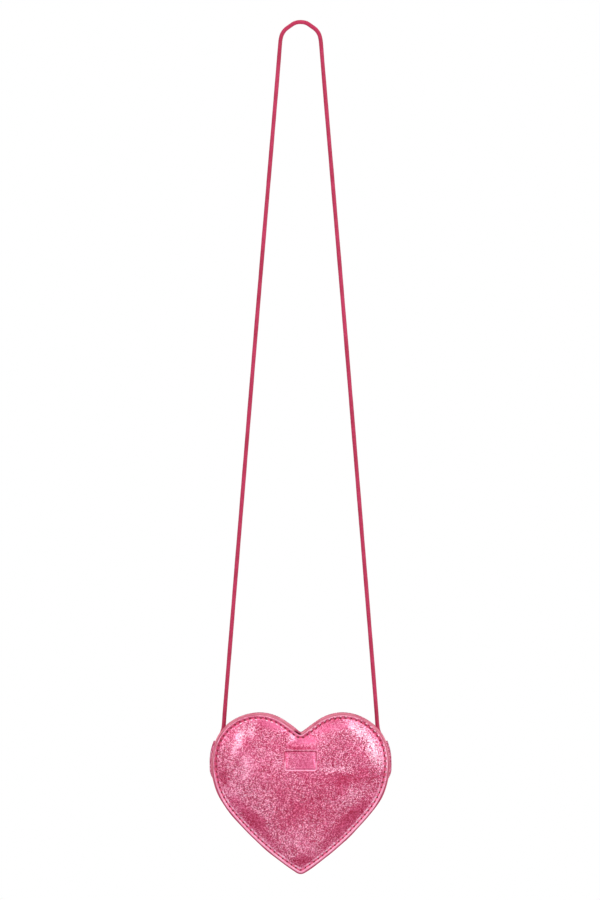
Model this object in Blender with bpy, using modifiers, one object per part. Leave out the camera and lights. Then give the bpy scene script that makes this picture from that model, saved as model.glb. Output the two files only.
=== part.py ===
"""Heart-shaped mini bag of foil leather, hanging by a thin round cord strap.

Two heart panels, a crowned front and a flat back, are sewn to a side strip whose edges turn
outwards. The upper half of the strip holds a zip that follows both lobes and the notch between
them. The strap's ends lie under a sewn tab on each side.

World frame: origin under the crest of the strap, where it hangs on its hook, +X to the right,
+Z up, and the bag's front faces -Y. Lengths are in metres and angles in radians.
"""

import math

import bmesh
import bpy
from mathutils import Vector

# Heart outline, measured on the stitch line and drawn by tangent arcs
LOBE_SPREAD = 0.0298
LOBE_RADIUS = 0.0290
HIP_RADIUS = 0.0495
HIP_START = math.radians(10)
FLANK_RADIUS = 0.2040
FLANK_START = math.radians(-39)
NOTCH_SLOPE = math.radians(37)
NOTCH_RADIUS = 0.0055
TIP_RADIUS = 0.0025
CHORD_SAG = 0.00016
WELD_DISTANCE = 0.00001

# Leather shell
CHANNEL_WIDTH = 0.0214
PANEL_THICKNESS = 0.0012
STRIP_THICKNESS = 0.0010
SEAT_GAP = 0.0003
PANEL_EDGE = 0.0020
EDGE_ROUNDING = 0.0003
ZIP_FLANGE_EDGE = 0.0035
GUSSET_FLANGE_EDGE = 0.0028
FOLD_RADIUS = 0.0012
CROWN_HEIGHT = 0.0075
CROWN_CENTRE_DROP = 0.0155
CROWN_MEAN_SHARE = -4
CROWN_FULL_SHARE = 1.3
CROWN_RING_SHARES = (0.97, 0.90, 0.78, 0.60, 0.35)
SEAM_STEP = 0.0010
ANGLE_SLACK = math.radians(0.01)

# Lap joint of the two strips, hidden under the side tabs
GUSSET_TOP = math.radians(17)
ZIP_PANEL_END = math.radians(6)
LAP_JOGGLE = math.radians(4)

# Padding, board and lining
PADDING_RIM_SHARE = 0.90
PADDING_RIM = 0.0010
BOARD_THICKNESS = 0.0010
LINING_THICKNESS = 0.0004
LINING_INSET = 0.0026
LINING_TIP_RADIUS = 0.0030
LINING_SEAM = math.radians(12)

# Zip: window in the leather, tapes and chain
WINDOW_END = math.radians(50)
WINDOW_WIDTH = 0.0100
TAPE_THICKNESS = 0.0006
TAPE_WIDTH = 0.0066
TAPE_OVERHANG = math.radians(5)
LINING_SLOT_MARGIN = 0.0012
TOOTH_PITCH = 0.0020
TOOTH_HEIGHT = 0.0021
TOOTH_REACH = 0.0007
TOOTH_ROOT = 0.0021
TOOTH_HEAD_WIDTH = 0.0010
TOOTH_NECK_WIDTH = 0.0006
TOOTH_CROWN = 0.0003
TOOTH_CROWN_SHARE = 0.7
TOOTH_NECK_SHARE = 0.85
BEAD_RADIUS = 0.0005
BEAD_PLACE = 0.0017
STOP_LENGTH = 0.0024
STOP_HEIGHT = 0.0023
STOP_WIDTH = 0.0018
STOP_ROUNDING = 0.0003

# Slider, its bridge and its pull
SLIDER_REST = math.radians(67)
SLIDER_LENGTH = 0.0084
SLIDER_PLATE = 0.0008
SLIDER_RIM = 0.0005
SLIDER_CLEARANCE = 0.0002
SLIDER_SLOT = 0.0012
SLIDER_ROUNDING = 0.0002
SLIDER_OVERRUN = 0.0010
SLIDER_PLAN_SHARES = ((-1, 0.72), (-0.86, 1), (-0.2, 1), (0.42, 0), (0.88, 0), (1, -0.3))
WEDGE_WIDTH = 0.0010
WEDGE_LENGTH = 0.0026
SPREAD_START_SHARE = 0.18
SPREAD_END_SHARE = -0.20
BRIDGE_WIDTH = 0.0016
BRIDGE_THICKNESS = 0.0007
BRIDGE_LENGTH = 0.0056
PULL_THICKNESS = 0.0007
PULL_WIDTH = 0.0046
PULL_LENGTH = 0.0118
PULL_ARM = 0.0008
PULL_WINDOW = 0.0040
PULL_EYE_RADIUS = 0.0010

# Strap cord and the tabs over its ends
CORD_DIAMETER = 0.0029
STRAP_DROP = 0.4998
STRAP_LEAVE = math.radians(31)
STRAP_END = math.radians(-4)
STRAP_STEP = 0.0180
STRAP_BEND_STEP = 0.0034
STRAP_BEND_LENGTH = 0.0300
STRAP_ROUTE = (
    (0.0000, 0.00145),
    (0.0041, 0.00030),
    (0.0076, -0.00270),
    (0.0108, -0.00560),
    (0.0130, -0.00860),
    (0.0140, -0.01200),
    (0.0145, -0.01700),
    (0.0155, -0.02950),
    (0.0183, -0.06300),
    (0.0297, -0.19740),
    (0.0408, -0.33180),
    (0.0518, -0.46620),
    (0.0532, -0.48400),
    (0.0537, -0.49100),
    (0.0542, -0.49480),
)
TAB_TOP = math.radians(23)
TAB_BOTTOM = math.radians(-19)
TAB_FADE = math.radians(9)
TAB_WIDTH = 0.0140
TAB_END_WIDTH = 0.0090
TAB_RIDGE_SHARES = ((1.86, 0), (1.28, 1), (0.90, 1.86), (0, 2.24))
TAB_THICKNESS = 0.0010

# Values that follow from those above
HALF_CHANNEL = CHANNEL_WIDTH / 2
SEAM_FACE = HALF_CHANNEL + STRIP_THICKNESS + SEAT_GAP
LAP_SHIFT = STRIP_THICKNESS + SEAT_GAP
TAPE_OFFSET = -(STRIP_THICKNESS + SEAT_GAP)
CHAIN_OFFSET = TAPE_OFFSET - TAPE_THICKNESS / 2
CHAIN_RADIUS = LOBE_RADIUS + CHAIN_OFFSET
LOBE_START = math.pi / 2 + NOTCH_SLOPE
TIP_ANGLE = -math.pi / 2
CORD_RADIUS = CORD_DIAMETER / 2
CORD_OFFSET = SEAT_GAP + CORD_RADIUS
LEAVE_RADIUS = LOBE_RADIUS + CORD_OFFSET
LEAVE_X = LOBE_SPREAD + LEAVE_RADIUS * math.cos(STRAP_LEAVE)
LEAVE_RISE = LEAVE_RADIUS * math.sin(STRAP_LEAVE)
SPREAD = TOOTH_REACH + WEDGE_WIDTH / 2 + SLIDER_CLEARANCE
BEAD_OUTER = BEAD_PLACE + BEAD_RADIUS
SLIDER_HALF = SLIDER_LENGTH / 2
SLIDER_DROP = SLIDER_HALF**2 / (2 * CHAIN_RADIUS)
LANE_HALF = TOOTH_HEIGHT / 2 + SLIDER_CLEARANCE + SLIDER_DROP / 2
LANE_MIDDLE = -SLIDER_DROP / 2
SLIDER_TOP = LANE_MIDDLE + LANE_HALF + SLIDER_PLATE
PULL_RISE = SLIDER_TOP + PULL_THICKNESS * math.sqrt(0.5) + SLIDER_CLEARANCE / 2
STOP_ANGLE = SLIDER_REST - (SLIDER_HALF + SEAT_GAP + STOP_LENGTH / 2) / CHAIN_RADIUS


def clear_scene():
    for item in list(bpy.data.objects):
        bpy.data.objects.remove(item, do_unlink=True)


def new_collection(name):
    collection = bpy.data.collections.new(name)
    bpy.context.scene.collection.children.link(collection)
    return collection


def material(name, colour, roughness, metallic):
    """A Principled material with one colour, roughness and metallic value."""
    made = bpy.data.materials.new(name)
    made.use_nodes = True
    shader = made.node_tree.nodes["Principled BSDF"]
    shader.inputs["Base Color"].default_value = (*colour, 1)
    shader.inputs["Roughness"].default_value = roughness
    shader.inputs["Metallic"].default_value = metallic
    return made


def add_object(name, data, parent=None, finish=None, collection=None):
    """Links a new object for the data to a collection, under its parent empty."""
    made = bpy.data.objects.new(name, data)
    (collection or PARTS).objects.link(made)
    made.parent = parent
    if finish:
        data.materials.append(finish)
    return made


def add_empty(name, parent=None, location=(0, 0, 0), turn=0):
    made = add_object(name, None, parent)
    made.location = location
    made.rotation_euler = (0, turn, 0)
    return made


def in_bag(name, data, finish, collection=None):
    """An object drawn about the point midway between the lobes' centres."""
    made = add_object(name, data, BAG, finish, collection)
    made.location.z = -LEAVE_RISE
    return made


def arc_angles(start, end, radius):
    """Angles along an arc, close enough for its chords to stay within CHORD_SAG."""
    step = math.sqrt(8 * CHORD_SAG / radius)
    count = max(1, math.ceil(abs(end - start) / step))
    return [start + (end - start) * i / count for i in range(count + 1)]


def outline_arcs(offset, tip_radius):
    """The convex arcs of the right half, at a distance outside the stitch line, from the lobe
    to the tip: (centre x, centre z, radius, first angle, last angle)."""
    hip_x = LOBE_SPREAD - (HIP_RADIUS - LOBE_RADIUS) * math.cos(HIP_START)
    hip_z = -(HIP_RADIUS - LOBE_RADIUS) * math.sin(HIP_START)
    flank_x = hip_x - (FLANK_RADIUS - HIP_RADIUS) * math.cos(FLANK_START)
    flank_z = hip_z - (FLANK_RADIUS - HIP_RADIUS) * math.sin(FLANK_START)
    reach = FLANK_RADIUS + offset - tip_radius
    tip_z = flank_z - math.sqrt(reach**2 - flank_x**2)
    meet = math.atan2(tip_z - flank_z, -flank_x)
    return [
        (LOBE_SPREAD, 0, LOBE_RADIUS + offset, LOBE_START, HIP_START),
        (hip_x, hip_z, HIP_RADIUS + offset, HIP_START, FLANK_START),
        (flank_x, flank_z, FLANK_RADIUS + offset, FLANK_START, meet),
        (0, tip_z, tip_radius, meet, TIP_ANGLE),
    ]


def edge_run(offset, angles, tip_radius=TIP_RADIUS):
    """Stations (x, z, angle of the outward normal) along the right half, from the first to the
    last of the given normals and through those between them."""
    stations = []
    for start, end in zip(angles, angles[1:]):
        for centre_x, centre_z, radius, first, last in outline_arcs(offset, tip_radius):
            high = min(start, first)
            low = max(end, last)
            if high <= low:
                continue
            for angle in arc_angles(high, low, radius)[:-1]:
                stations.append(on_arc(centre_x, centre_z, radius, angle))
            final = on_arc(centre_x, centre_z, radius, low)
    return stations + [final]


def on_arc(centre_x, centre_z, radius, angle):
    return (centre_x + radius * math.cos(angle), centre_z + radius * math.sin(angle), angle)


def notch_run(offset, notch_radius):
    """Stations from the middle of the notch up to the foot of the right lobe's arc."""
    vertex_z = (LOBE_RADIUS + offset - LOBE_SPREAD * math.sin(NOTCH_SLOPE)) / math.cos(NOTCH_SLOPE)
    centre_z = vertex_z + notch_radius / math.cos(NOTCH_SLOPE)
    stations = []
    for turn in arc_angles(0, NOTCH_SLOPE, notch_radius):
        x = notch_radius * math.sin(turn)
        z = centre_z - notch_radius * math.cos(turn)
        stations.append((x, z, math.pi / 2 + turn))
    return stations


def mirrored(stations):
    return [(-x, z, math.pi - angle) for x, z, angle in reversed(stations)]


def upper_run(offset, angles, tip_radius=TIP_RADIUS):
    """From the left side over the left lobe, the notch and the right lobe to the right side."""
    right = notch_run(offset, NOTCH_RADIUS - offset)
    right += edge_run(offset, [LOBE_START] + angles, tip_radius)
    return mirrored(right)[:-1] + right


def lower_run(offset, angles):
    """From the right side down round the tip and up to the left side."""
    right = edge_run(offset, angles + [TIP_ANGLE])
    return right + mirrored(right)[1:]


def heart_loop(offset, tip_radius):
    """The whole closed outline as points (x, z), clockwise as seen from the front."""
    right = notch_run(offset, NOTCH_RADIUS - offset)
    right += edge_run(offset, [LOBE_START, TIP_ANGLE], tip_radius)
    return [(x, z) for x, z, _ in right + mirrored(right)[1:-1]]


def side_angle(station):
    """The station's normal as it would be on the right half."""
    x, _, angle = station
    return angle if x >= 0 else math.pi - angle


def smooth(share):
    """Eases from 0 to 1 with level ends."""
    share = min(1, max(0, share))
    return share * share * (3 - 2 * share)


def mesh_from(name, points, faces):
    data = bpy.data.meshes.new(name)
    data.from_pydata(points, [], faces)
    data.update()
    return data


def soften(made, width, segments=1):
    """Rounds an object's sharp edges."""
    rounding = made.modifiers.new("Rounding", "BEVEL")
    rounding.width = width
    rounding.segments = segments
    rounding.limit_method = "ANGLE"
    rounding.angle_limit = math.radians(50)
    return made


def strip(name, stations, section, thickness, finish, inwards=True, is_cut=None):
    """A leather or cloth strip: a cross-section carried along the outline, then thickened.
    section(station) gives its points as (distance outside the outline, y). A cell of the grid is
    cut out where is_cut(its angles, its distances from the middle) is true."""
    rows = [section(station) for station in stations]
    points = []
    for (x, z, angle), row in zip(stations, rows):
        for out, y in row:
            points.append((x + out * math.cos(angle), y, z + out * math.sin(angle)))
    width = len(rows[0])
    faces = []
    for i in range(len(stations) - 1):
        for j in range(width - 1):
            angles = (side_angle(stations[i]), side_angle(stations[i + 1]))
            widths = (abs(rows[i][j][1]), abs(rows[i][j + 1][1]))
            if is_cut and is_cut(angles, widths):
                continue
            corner = i * width + j
            faces.append((corner, corner + width, corner + width + 1, corner + 1))
    made = in_bag(name, mesh_from(name, points, faces), finish)
    made.data.shade_smooth()
    wall = made.modifiers.new("Thickness", "SOLIDIFY")
    wall.thickness = thickness
    wall.offset = -1 if inwards else 1
    wall.use_even_offset = True
    return made


def channel_section(flange_edge, lap=0):
    """Front flange, fold, wall, fold and back flange; the lap sets the wall further in."""
    corner = FOLD_RADIUS * (1 - math.sin(math.pi / 4))
    front = [
        (flange_edge, -HALF_CHANNEL),
        (FOLD_RADIUS, -HALF_CHANNEL),
        (corner - lap, corner - HALF_CHANNEL),
        (-lap, FOLD_RADIUS - HALF_CHANNEL),
        (-lap, -WINDOW_WIDTH / 2),
    ]
    return front + [(out, -y) for out, y in reversed(front)]


def cut_flat(name, loops, thickness):
    """A flat piece cut to a closed outline; further outlines inside it are holes."""
    curve = bpy.data.curves.new(name, "CURVE")
    curve.dimensions = "2D"
    curve.fill_mode = "BOTH"
    curve.extrude = thickness / 2
    for loop in loops:
        spline = curve.splines.new("POLY")
        spline.points.add(len(loop) - 1)
        for point, (x, y) in zip(spline.points, loop):
            point.co = (x, y, 0, 1)
        spline.use_cyclic_u = True
    return curve


def weld_caps(made):
    weld = made.modifiers.new("Weld", "WELD")
    weld.merge_threshold = WELD_DISTANCE
    return made


def flat_sheet(name, loop, front, thickness, finish):
    """An upright panel with its front face at the given y."""
    made = in_bag(name, cut_flat(name, [loop], thickness), finish)
    made.location.y = front + thickness / 2
    made.rotation_euler = (math.pi / 2, 0, 0)
    return weld_caps(made)


def tube(name, points, diameter, detail=2):
    """A round cord along a line of points, with flat ends."""
    curve = bpy.data.curves.new(name, "CURVE")
    curve.dimensions = "3D"
    curve.bevel_depth = diameter / 2
    curve.bevel_resolution = detail
    curve.use_fill_caps = True
    spline = curve.splines.new("POLY")
    spline.points.add(len(points) - 1)
    for point, place in zip(spline.points, points):
        point.co = (*place, 1)
    return curve


def whole_seam():
    """Stations all round the stitch line, from the middle of the notch."""
    right = notch_run(0, NOTCH_RADIUS) + edge_run(0, [LOBE_START, TIP_ANGLE])
    return right + mirrored(right)[1:-1]


def seam_pieces(seam):
    """The stitch line cut into short pieces: (middle x, middle z, length)."""
    pieces = []
    for (x, z, _), (next_x, next_z, _) in zip(seam, seam[1:] + seam[:1]):
        length = math.dist((x, z), (next_x, next_z))
        count = math.ceil(length / SEAM_STEP)
        for i in range(count):
            share = (i + 0.5) / count
            middle_x = x + (next_x - x) * share
            middle_z = z + (next_z - z) * share
            pieces.append((middle_x, middle_z, length / count))
    return pieces


def mean_distance(x, z, pieces):
    """A power mean of the distances to all of the seam. The near parts weigh most, so it falls
    to zero at the seam, and it is smooth everywhere inside."""
    total = 0
    whole = 0
    for piece_x, piece_z, length in pieces:
        total += length * math.dist((x, z), (piece_x, piece_z)) ** CROWN_MEAN_SHARE
        whole += length
    return (total / whole) ** (1 / CROWN_MEAN_SHARE)


def crown_rings(seam):
    """Rings drawn in from the seam towards the crown's centre, as points (x, z, how far the
    panel stands out there)."""
    drop = CROWN_CENTRE_DROP
    pieces = seam_pieces(seam)
    full = mean_distance(0, -drop, pieces)
    rings = [[(x, z, 0) for x, z, _ in seam]]
    for share in CROWN_RING_SHARES:
        ring = []
        for seam_x, seam_z, _ in seam:
            x = seam_x * share
            z = (seam_z + drop) * share - drop
            fullness = min(1, mean_distance(x, z, pieces) / full)
            ring.append((x, z, CROWN_HEIGHT * (1 - (1 - fullness) ** CROWN_FULL_SHARE)))
        rings.append(ring)
    return rings


def loft_object(name, rings, centre, finish):
    """A surface through closed rings of points, outermost first, with a fan at the centre."""
    points = [point for ring in rings for point in ring] + [centre]
    count = len(rings[0])
    faces = []
    for layer in range(len(rings) - 1):
        for i in range(count):
            after = (i + 1) % count
            first = layer * count
            second = first + count
            faces.append((first + i, second + i, second + after, first + after))
    inner = (len(rings) - 1) * count
    faces += [(inner + i, len(points) - 1, inner + (i + 1) % count) for i in range(count)]
    made = in_bag(name, mesh_from(name, points, faces), finish)
    made.data.shade_smooth()
    return made


def build_front_panel():
    """A flat seam edge all round, then the crown that the padding gives the leather."""
    face = SEAM_FACE + PANEL_THICKNESS
    seam = whole_seam()
    edge = []
    for x, z, angle in seam:
        edge.append((x + PANEL_EDGE * math.cos(angle), -face, z + PANEL_EDGE * math.sin(angle)))
    rings = [edge]
    for ring in crown_rings(seam):
        rings.append([(x, -face - rise, z) for x, z, rise in ring])
    centre = (0, -face - CROWN_HEIGHT, -CROWN_CENTRE_DROP)
    made = loft_object("front_panel", rings, centre, PINK_FOIL)
    wall = made.modifiers.new("Thickness", "SOLIDIFY")
    wall.thickness = PANEL_THICKNESS
    wall.offset = -1
    wall.use_even_offset = True
    soften(made, EDGE_ROUNDING)


def build_front_padding():
    """A lens of wadding: flat towards the lining, crowned towards the leather, and drawn in
    from the seam all round."""
    back = -HALF_CHANNEL
    drop = CROWN_CENTRE_DROP
    rings = []
    for ring in crown_rings(whole_seam()):
        drawn_in = []
        for x, z, rise in ring:
            near_z = (z + drop) * PADDING_RIM_SHARE - drop
            drawn_in.append((x * PADDING_RIM_SHARE, back - PADDING_RIM - rise, near_z))
        rings.append(drawn_in)
    rings.insert(0, [(x, back, z) for x, _, z in rings[0]])
    centre = (0, back - PADDING_RIM - CROWN_HEIGHT, -drop)
    made = loft_object("front_padding", rings, centre, WADDING)
    base = bmesh.new()
    base.from_mesh(made.data)
    bmesh.ops.holes_fill(base, edges=base.edges)
    bmesh.ops.recalc_face_normals(base, faces=base.faces)
    base.to_mesh(made.data)
    base.free()


def build_flat_pieces():
    """The back panel, its board and both lining panels, all cut flat."""
    panel = heart_loop(PANEL_EDGE, TIP_RADIUS + PANEL_EDGE)
    inside = heart_loop(-LINING_INSET, LINING_TIP_RADIUS)
    back = flat_sheet("back_panel", panel, SEAM_FACE, PANEL_THICKNESS, PINK_FOIL)
    soften(back, EDGE_ROUNDING)
    board_front = SEAM_FACE - SEAT_GAP - BOARD_THICKNESS
    flat_sheet("back_board", inside, board_front, BOARD_THICKNESS, GREY_BOARD)
    lining_back = board_front - SEAT_GAP - LINING_THICKNESS
    flat_sheet("back_lining", inside, lining_back, LINING_THICKNESS, LINING_CLOTH)
    lining_front = -HALF_CHANNEL + SEAT_GAP
    flat_sheet("front_lining", inside, lining_front, LINING_THICKNESS, LINING_CLOTH)


def in_window(angles, widths, width):
    """True for a cell of a strip inside an opening round the zip."""
    return max(widths) <= width / 2 and min(angles) > WINDOW_END - ANGLE_SLACK


def build_strips():
    """The gusset below, the zip panel above with the ends of its wall tucked under the gusset,
    and the lining strip inside both."""

    def gusset_section(station):
        return channel_section(GUSSET_FLANGE_EDGE)

    lower = lower_run(0, [GUSSET_TOP])
    strip("gusset", lower, gusset_section, STRIP_THICKNESS, PINK_FOIL)

    flange_end = GUSSET_TOP + SEAT_GAP / LOBE_RADIUS
    lap_start = flange_end + LAP_JOGGLE

    def zip_panel_section(station):
        tucked = smooth((lap_start - side_angle(station)) / LAP_JOGGLE)
        edge = ZIP_FLANGE_EDGE + tucked * (GUSSET_FLANGE_EDGE - ZIP_FLANGE_EDGE)
        return channel_section(edge, tucked * LAP_SHIFT)

    def zip_panel_cut(angles, widths):
        if in_window(angles, widths, WINDOW_WIDTH):
            return True
        on_flange = max(widths) > HALF_CHANNEL - FOLD_RADIUS + WELD_DISTANCE
        return on_flange and max(angles) < flange_end + ANGLE_SLACK

    half_way = (lap_start + flange_end) / 2
    upper = upper_run(0, [WINDOW_END, lap_start, half_way, flange_end, ZIP_PANEL_END])
    strip("zip_panel", upper, zip_panel_section, STRIP_THICKNESS, PINK_FOIL, is_cut=zip_panel_cut)

    slot = WINDOW_WIDTH + 2 * LINING_SLOT_MARGIN
    edge = HALF_CHANNEL - 2 * SEAT_GAP - LINING_THICKNESS

    def lining_section(station):
        return [(0, -edge), (0, -slot / 2), (0, slot / 2), (0, edge)]

    def lining_cut(angles, widths):
        return in_window(angles, widths, slot)

    around = upper_run(-LINING_INSET, [WINDOW_END, TIP_ANGLE + LINING_SEAM], LINING_TIP_RADIUS)
    strip("gusset_lining", around, lining_section, LINING_THICKNESS, LINING_CLOTH, is_cut=lining_cut)


def slider_travel(station):
    """How far a station on the left lobe lies behind the slider's middle, along the chain."""
    if station[0] >= 0:
        return SLIDER_LENGTH
    return CHAIN_RADIUS * (side_angle(station) - SLIDER_REST)


def parting(travel):
    """How far each row of teeth is pushed aside, at a distance behind the slider's middle."""
    start = SPREAD_START_SHARE * SLIDER_LENGTH
    end = SPREAD_END_SHARE * SLIDER_LENGTH
    return SPREAD * smooth((start - travel) / (start - end))


def build_tapes():
    """The cloth tapes under the window's edges, up to the beads of the two rows."""
    spread_start = SLIDER_REST + SPREAD_START_SHARE * SLIDER_LENGTH / CHAIN_RADIUS
    spread_end = SLIDER_REST + SPREAD_END_SHARE * SLIDER_LENGTH / CHAIN_RADIUS
    angles = [spread_start, SLIDER_REST, spread_end, WINDOW_END - TAPE_OVERHANG]
    stations = upper_run(TAPE_OFFSET, angles)
    inner = BEAD_OUTER + SEAT_GAP
    for name, side in (("zip_tape_front", -1), ("zip_tape_back", 1)):

        def tape_section(station):
            near = inner + parting(slider_travel(station))
            return [(0, y) for y in sorted((side * near, side * (inner + TAPE_WIDTH)))]

        strip(name, stations, tape_section, TAPE_THICKNESS, TAPE_CLOTH)


def chain_lengths():
    """Lengths along the chain: half the notch's arc, and the straight from it to the lobe."""
    arc = (NOTCH_RADIUS - CHAIN_OFFSET) * NOTCH_SLOPE
    end = notch_run(CHAIN_OFFSET, NOTCH_RADIUS - CHAIN_OFFSET)[-1]
    foot = on_arc(LOBE_SPREAD, 0, CHAIN_RADIUS, LOBE_START)
    return arc, math.dist(end[:2], foot[:2])


def chain_length_to(angle):
    """Length along the chain from the notch's middle to a place on a lobe."""
    arc, straight = chain_lengths()
    return arc + straight + CHAIN_RADIUS * (LOBE_START - angle)


def chain_station(length):
    """The station at a signed length along the chain from the notch's middle."""
    arc, straight = chain_lengths()
    passed = abs(length)
    radius = NOTCH_RADIUS - CHAIN_OFFSET
    run = notch_run(CHAIN_OFFSET, radius)
    if passed <= arc:
        turn = passed / radius
        top = run[0][1] + radius
        place = (radius * math.sin(turn), top - radius * math.cos(turn), math.pi / 2 + turn)
    elif passed <= arc + straight:
        share = (passed - arc) / straight
        foot = on_arc(LOBE_SPREAD, 0, CHAIN_RADIUS, LOBE_START)
        near = Vector(run[-1]).lerp(Vector(foot), share)
        place = tuple(near)
    else:
        angle = LOBE_START - (passed - arc - straight) / CHAIN_RADIUS
        place = on_arc(LOBE_SPREAD, 0, CHAIN_RADIUS, angle)
    return place if length >= 0 else mirrored([place])[0]


def in_place(station, along, y, above):
    """A point of the bag from its distances along the chain, across it and out of it."""
    x, z, angle = station
    point_x = x + along * math.sin(angle) + above * math.cos(angle)
    return Vector((point_x, y, z - along * math.cos(angle) + above * math.sin(angle)))


def add_tooth(base, station, side, aside):
    """One tooth: root, neck and head in plan, its outer face narrowed."""
    half = (
        (TOOTH_HEAD_WIDTH / 2, -TOOTH_ROOT),
        (TOOTH_NECK_WIDTH / 2, -TOOTH_NECK_SHARE * TOOTH_REACH),
        (TOOTH_HEAD_WIDTH / 2, TOOTH_REACH),
    )
    plan = list(half) + [(-along, reach) for along, reach in reversed(half)]
    low = -TOOTH_HEIGHT / 2
    shoulder = TOOTH_HEIGHT / 2 - TOOTH_CROWN
    high = TOOTH_HEIGHT / 2
    levels = ((low, 1), (shoulder, 1), (high, TOOTH_CROWN_SHARE))
    rings = []
    for above, share in levels:
        ring = []
        for along, reach in plan:
            y = side * (aside - reach)
            ring.append(base.verts.new(in_place(station, along * share, y, above)))
        rings.append(ring)
    base.faces.new(rings[0])
    base.faces.new(reversed(rings[-1]))
    for below, over in zip(rings, rings[1:]):
        for i in range(len(plan)):
            after = (i + 1) % len(plan)
            base.faces.new((below[after], below[i], over[i], over[after]))


def as_mesh(curve_object):
    """The curve as a closed mesh with its caps welded; the curve itself is removed."""
    graph = bpy.context.evaluated_depsgraph_get()
    data = bpy.data.meshes.new_from_object(curve_object.evaluated_get(graph))
    base = bmesh.new()
    base.from_mesh(data)
    bmesh.ops.remove_doubles(base, verts=base.verts, dist=WELD_DISTANCE)
    base.to_mesh(data)
    base.free()
    name = curve_object.name
    parent = curve_object.parent
    place = curve_object.matrix_world.copy()
    collection = curve_object.users_collection[0]
    bpy.data.objects.remove(curve_object)
    made = bpy.data.objects.new(name, data)
    collection.objects.link(made)
    made.parent = parent
    made.matrix_world = place
    return made


def combine(made, other, operation):
    """Joins another solid to the object or cuts it away; the other one is only a guide."""
    other.hide_render = True
    other.display_type = "WIRE"
    boolean = made.modifiers.new(operation.title(), "BOOLEAN")
    boolean.operation = operation
    boolean.object = other


def block(name, size, parent, location, turn, finish=None, collection=None):
    base = bmesh.new()
    bmesh.ops.create_cube(base, size=1)
    bmesh.ops.scale(base, vec=size, verts=base.verts)
    data = bpy.data.meshes.new(name)
    base.to_mesh(data)
    base.free()
    made = add_object(name, data, parent, finish, collection)
    made.location = location
    made.rotation_euler = (0, turn, 0)
    return made


def build_chain():
    """Two rows of teeth on their beads. The rows interlock, half a pitch apart, on the closed
    part and are pushed aside by the slider towards the left end."""
    last = chain_length_to(STOP_ANGLE) - STOP_LENGTH / 2 - SEAT_GAP
    teeth_last = last - TOOTH_HEAD_WIDTH / 2
    for name, side, start in (
        ("zip_teeth_front", -1, -TOOTH_PITCH / 4),
        ("zip_teeth_back", 1, TOOTH_PITCH / 4),
    ):
        base = bmesh.new()
        first = math.ceil((-teeth_last - start) / TOOTH_PITCH)
        final = math.floor((teeth_last - start) / TOOTH_PITCH)
        for number in range(first, final + 1):
            station = chain_station(start + number * TOOTH_PITCH)
            add_tooth(base, station, side, parting(slider_travel(station)))
        bmesh.ops.recalc_face_normals(base, faces=base.faces)
        data = bpy.data.meshes.new(name)
        base.to_mesh(data)
        base.free()
        teeth = in_bag(name + "_shapes", data, None, GUIDES)

        count = math.ceil(2 * last / TOOTH_PITCH)
        places = []
        for i in range(count + 1):
            station = chain_station(last * (2 * i / count - 1))
            y = side * (BEAD_PLACE + parting(slider_travel(station)))
            places.append(in_place(station, 0, y, 0))
        bead = tube(name, places, 2 * BEAD_RADIUS, detail=0)
        combine(as_mesh(in_bag(name, bead, GOLD_METAL)), teeth, "UNION")


def build_stops():
    """A crimped stop on each row at the left end and one over both at the right end."""
    x, z, angle = mirrored([on_arc(LOBE_SPREAD, 0, CHAIN_RADIUS, STOP_ANGLE)])[0]
    size = (STOP_LENGTH, STOP_WIDTH, STOP_HEIGHT)
    for name, side in (("zip_top_stop_front", -1), ("zip_top_stop_back", 1)):
        y = side * (SPREAD + BEAD_OUTER - STOP_WIDTH / 2)
        place = (x, y, z - LEAVE_RISE)
        stop = block(name, size, BAG, place, math.pi / 2 - angle, GOLD_METAL)
        soften(stop, STOP_ROUNDING)
    size = (STOP_LENGTH, 2 * BEAD_OUTER, STOP_HEIGHT)
    place = (-x, 0, z - LEAVE_RISE)
    stop = block("zip_bottom_stop", size, BAG, place, angle - math.pi / 2, GOLD_METAL)
    soften(stop, STOP_ROUNDING)


def slider_plan(front_half, tail_half):
    """The slider's outline: wide where the rows come in apart, narrow where they leave joined."""
    side = []
    for along, share in SLIDER_PLAN_SHARES:
        half = tail_half + share * (front_half - tail_half)
        side.append((along * SLIDER_HALF, half))
    return side + [(x, -y) for x, y in reversed(side)]


def slider_layer(name, loops, low, high, finish=None, collection=None):
    """A flat layer of the slider between two heights above the middle of the chain."""
    made = add_object(name, cut_flat(name, loops, high - low), SLIDER, finish, collection)
    made.location.z = CHAIN_RADIUS + (low + high) / 2
    return as_mesh(made)


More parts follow.
